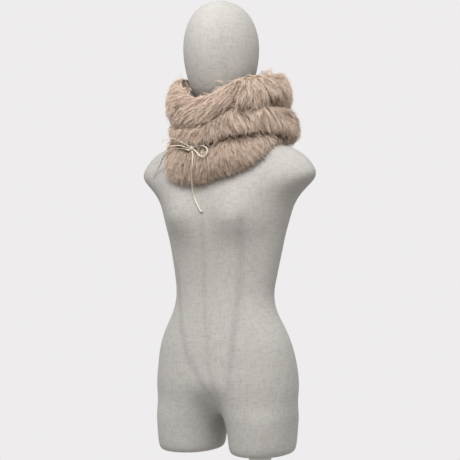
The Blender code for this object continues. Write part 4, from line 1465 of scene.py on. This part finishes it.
@dataclass
class Studio:
    """Camera, light and floor."""

    floor_radius: float = 0.42
    floor_sides: int = 96
    floor_drop: float = 0.4 * MM
    key_power: float = 53.0
    key_size: float = 1.2
    key_colour: tuple = (1.0, 0.992, 0.98)
    key_forward: float = 1.7
    key_left: float = 0.3
    key_height: float = 2.45
    aim: tuple = (0.0, 0.0, 0.75)
    room_strength: float = 0.86
    room: tuple = (
        (0.0, (0.33, 0.30, 0.27)),
        (0.48, (0.62, 0.594, 0.572)),
        (0.80, (1.0, 1.0, 1.0)),
    )
    paper: tuple = (0.855, 0.839, 0.847)
    backdrop_away: float = 6.0
    backdrop_half: float = 1.7

    def toward(self) -> Vector:
        """The level direction from the object to the camera."""
        azimuth = math.radians(CAMERA_AZIMUTH)
        return Vector((math.sin(azimuth), -math.cos(azimuth), 0.0))

    def right(self) -> Vector:
        """The level direction to the viewer's right."""
        azimuth = math.radians(CAMERA_AZIMUTH)
        return Vector((math.cos(azimuth), math.sin(azimuth), 0.0))

    def camera(self) -> None:
        """Set the camera at the photo's place and view."""
        data = bpy.data.cameras.new("camera")
        data.sensor_width = SENSOR
        data.lens = SENSOR * CAMERA_DISTANCE / PHOTO_FIELD
        data.clip_end = 30.0
        camera = bpy.data.objects.new("camera", data)
        camera.location = (
            self.toward() * CAMERA_DISTANCE + self.right() * CAMERA_SIDE + Vector((0, 0, CAMERA_HEIGHT))
        )
        camera.rotation_euler = (math.radians(90), 0.0, math.radians(CAMERA_AZIMUTH))
        bpy.context.scene.collection.objects.link(camera)
        bpy.context.scene.camera = camera

    def lamp(self, name: str, place: Vector, size: float, power: float, colour: tuple) -> None:
        """Hang a square lamp that faces the wrap."""
        data = bpy.data.lights.new(name, "AREA")
        data.size = size
        data.energy = power
        data.color = colour
        lamp = bpy.data.objects.new(name, data)
        lamp.location = place
        way = Vector(self.aim) - place
        lamp.rotation_euler = way.to_track_quat("-Z", "Y").to_euler()
        bpy.context.scene.collection.objects.link(lamp)

    def light(self) -> None:
        """Light the object: a dim room that is brightest overhead, and a soft lamp at the left."""
        world = bpy.data.worlds.new("room")
        world.use_nodes = True
        tree = world.node_tree
        sky = tree.nodes["Background"]
        place = add_node(tree, "ShaderNodeTexCoord")
        split = add_node(tree, "ShaderNodeSeparateXYZ")
        height = add_node(tree, "ShaderNodeMapRange")
        height.inputs["From Min"].default_value = -1.0
        tree.links.new(place.outputs["Generated"], split.inputs[0])
        tree.links.new(split.outputs["Z"], height.inputs["Value"])
        colour = tone_ramp(tree, height.outputs["Result"], self.room)
        tree.links.new(colour, sky.inputs["Color"])
        sky.inputs["Strength"].default_value = self.room_strength
        bpy.context.scene.world = world
        over = self.toward() * self.key_forward - self.right() * self.key_left
        over += Vector((0, 0, self.key_height))
        self.lamp("key", over, self.key_size, self.key_power, self.key_colour)

    def backdrop(self) -> None:
        """Stand a plain pale sheet far behind the object, as wide as the camera sees."""
        material = bpy.data.materials.new("backdrop")
        material.use_nodes = True
        tree = material.node_tree
        glow = add_node(tree, "ShaderNodeEmission")
        glow.inputs["Color"].default_value = (*self.paper, 1.0)
        tree.links.new(glow.outputs[0], tree.nodes["Material Output"].inputs["Surface"])
        far = self.toward() * -self.backdrop_away
        half = self.right() * self.backdrop_half
        low = Vector((0, 0, CAMERA_HEIGHT - self.backdrop_half))
        high = Vector((0, 0, CAMERA_HEIGHT + self.backdrop_half))
        corner_points = [far - half + low, far + half + low, far + half + high, far - half + high]
        points = np.array([point[:] for point in corner_points])
        add_piece("backdrop", points, [(0, 1, 2, 3)], material)

    def floor(self, material: bpy.types.Material) -> None:
        """Lay a small round of floor under the stand."""
        turns = np.linspace(0, 2 * math.pi, self.floor_sides, endpoint=False)
        rim = [self.floor_radius * np.cos(turns), self.floor_radius * np.sin(turns)]
        points = np.stack([*rim, np.full(self.floor_sides, -self.floor_drop)], axis=1)
        add_piece("floor", points, [tuple(range(self.floor_sides))], material)

    def look(self) -> None:
        """Set plain colours for the render."""
        view = bpy.context.scene.view_settings
        view.view_transform = "Standard"
        view.look = "None"
        view.exposure = 0.0


# Making


PILE_PIECES = {Stretch.UPPER: 3, Stretch.MIDDLE: 2, Stretch.YOKE: 2}
PILE_CURL = 3.2 * MM


def build_wrap(skin: bpy.types.Object, bow: Bow) -> None:
    """Make the backings and the pile of the three stretches.

    Args:
        skin: The form's skin, which the pile keeps off.
        bow: The bow, which the pile parts for.
    """
    backing_material = BACKING.start()[0]
    pile_material = fur_material()
    stretches = [FurStretch(kind, frame["nodes"][kind.value], FIELDS[kind]) for kind in Stretch]
    backings = [fur.backing(backing_material) for fur in stretches]
    for piece in backings:
        outward_faces(piece)
    tree = merge_trees(backings + [skin])
    strands = strand_tree()
    for number, (fur, backing) in enumerate(zip(stretches, backings)):
        grower = PileGrower(tree, bow.all_points(), SEED + number)
        grown = grower.strands(fur, stretches[number - 1] if number else None)
        points = grown["points"]
        turn = bearing(points.mean(axis=1)) % (2 * math.pi)
        pieces = PILE_PIECES[fur.stretch]
        share = np.minimum((turn / (2 * math.pi) * pieces).astype(int), pieces - 1)
        for part in range(pieces):
            chosen = {key: values[share == part] for key, values in grown.items()}
            name = f"{fur.stretch.value}_pile_{part + 1}"
            pile = sweep_strands(name, chosen, strands, pile_material, PILE_CURL)
            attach(pile, "root")
            LOG.info("%s has %d faces", name, len(pile.data.polygons))
        area = sum(face.area for face in backing.data.polygons)
        LOG.info("%s has %.4f square metres on both sides", backing.name, area)
        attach(backing, "root")
        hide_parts(fur.stretch.value)


def log_triangles() -> None:
    """Log each new piece's triangles and their sum."""
    total = 0
    for piece in bpy.context.scene.objects:
        if piece.type == "MESH" and piece.name not in frame["nodes"]:
            triangles = sum(len(face.vertices) - 2 for face in piece.data.polygons)
            LOG.info("%s has %d triangles", piece.name, triangles)
            total += triangles
    LOG.info("%d triangles in all", total)


def main() -> None:
    """Build the studio, the bow, the form, the wrap and the stand in order."""
    logging.basicConfig(level=logging.INFO, format="%(message)s")
    studio = Studio()
    studio.camera()
    weave = weave_group()
    bow = Bow(lace_material(weave))
    bow.build()
    skin = DressForm(linen_material(weave)).build()
    build_wrap(skin, bow)
    Stand().dress(metal_material())
    log_triangles()
    studio.floor(FLOOR.start()[0])
    studio.light()
    studio.backdrop()
    studio.look()


if __name__ == "__main__":
    for left_over in list(bpy.data.objects):
        bpy.data.objects.remove(left_over)
    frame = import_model()
    main()
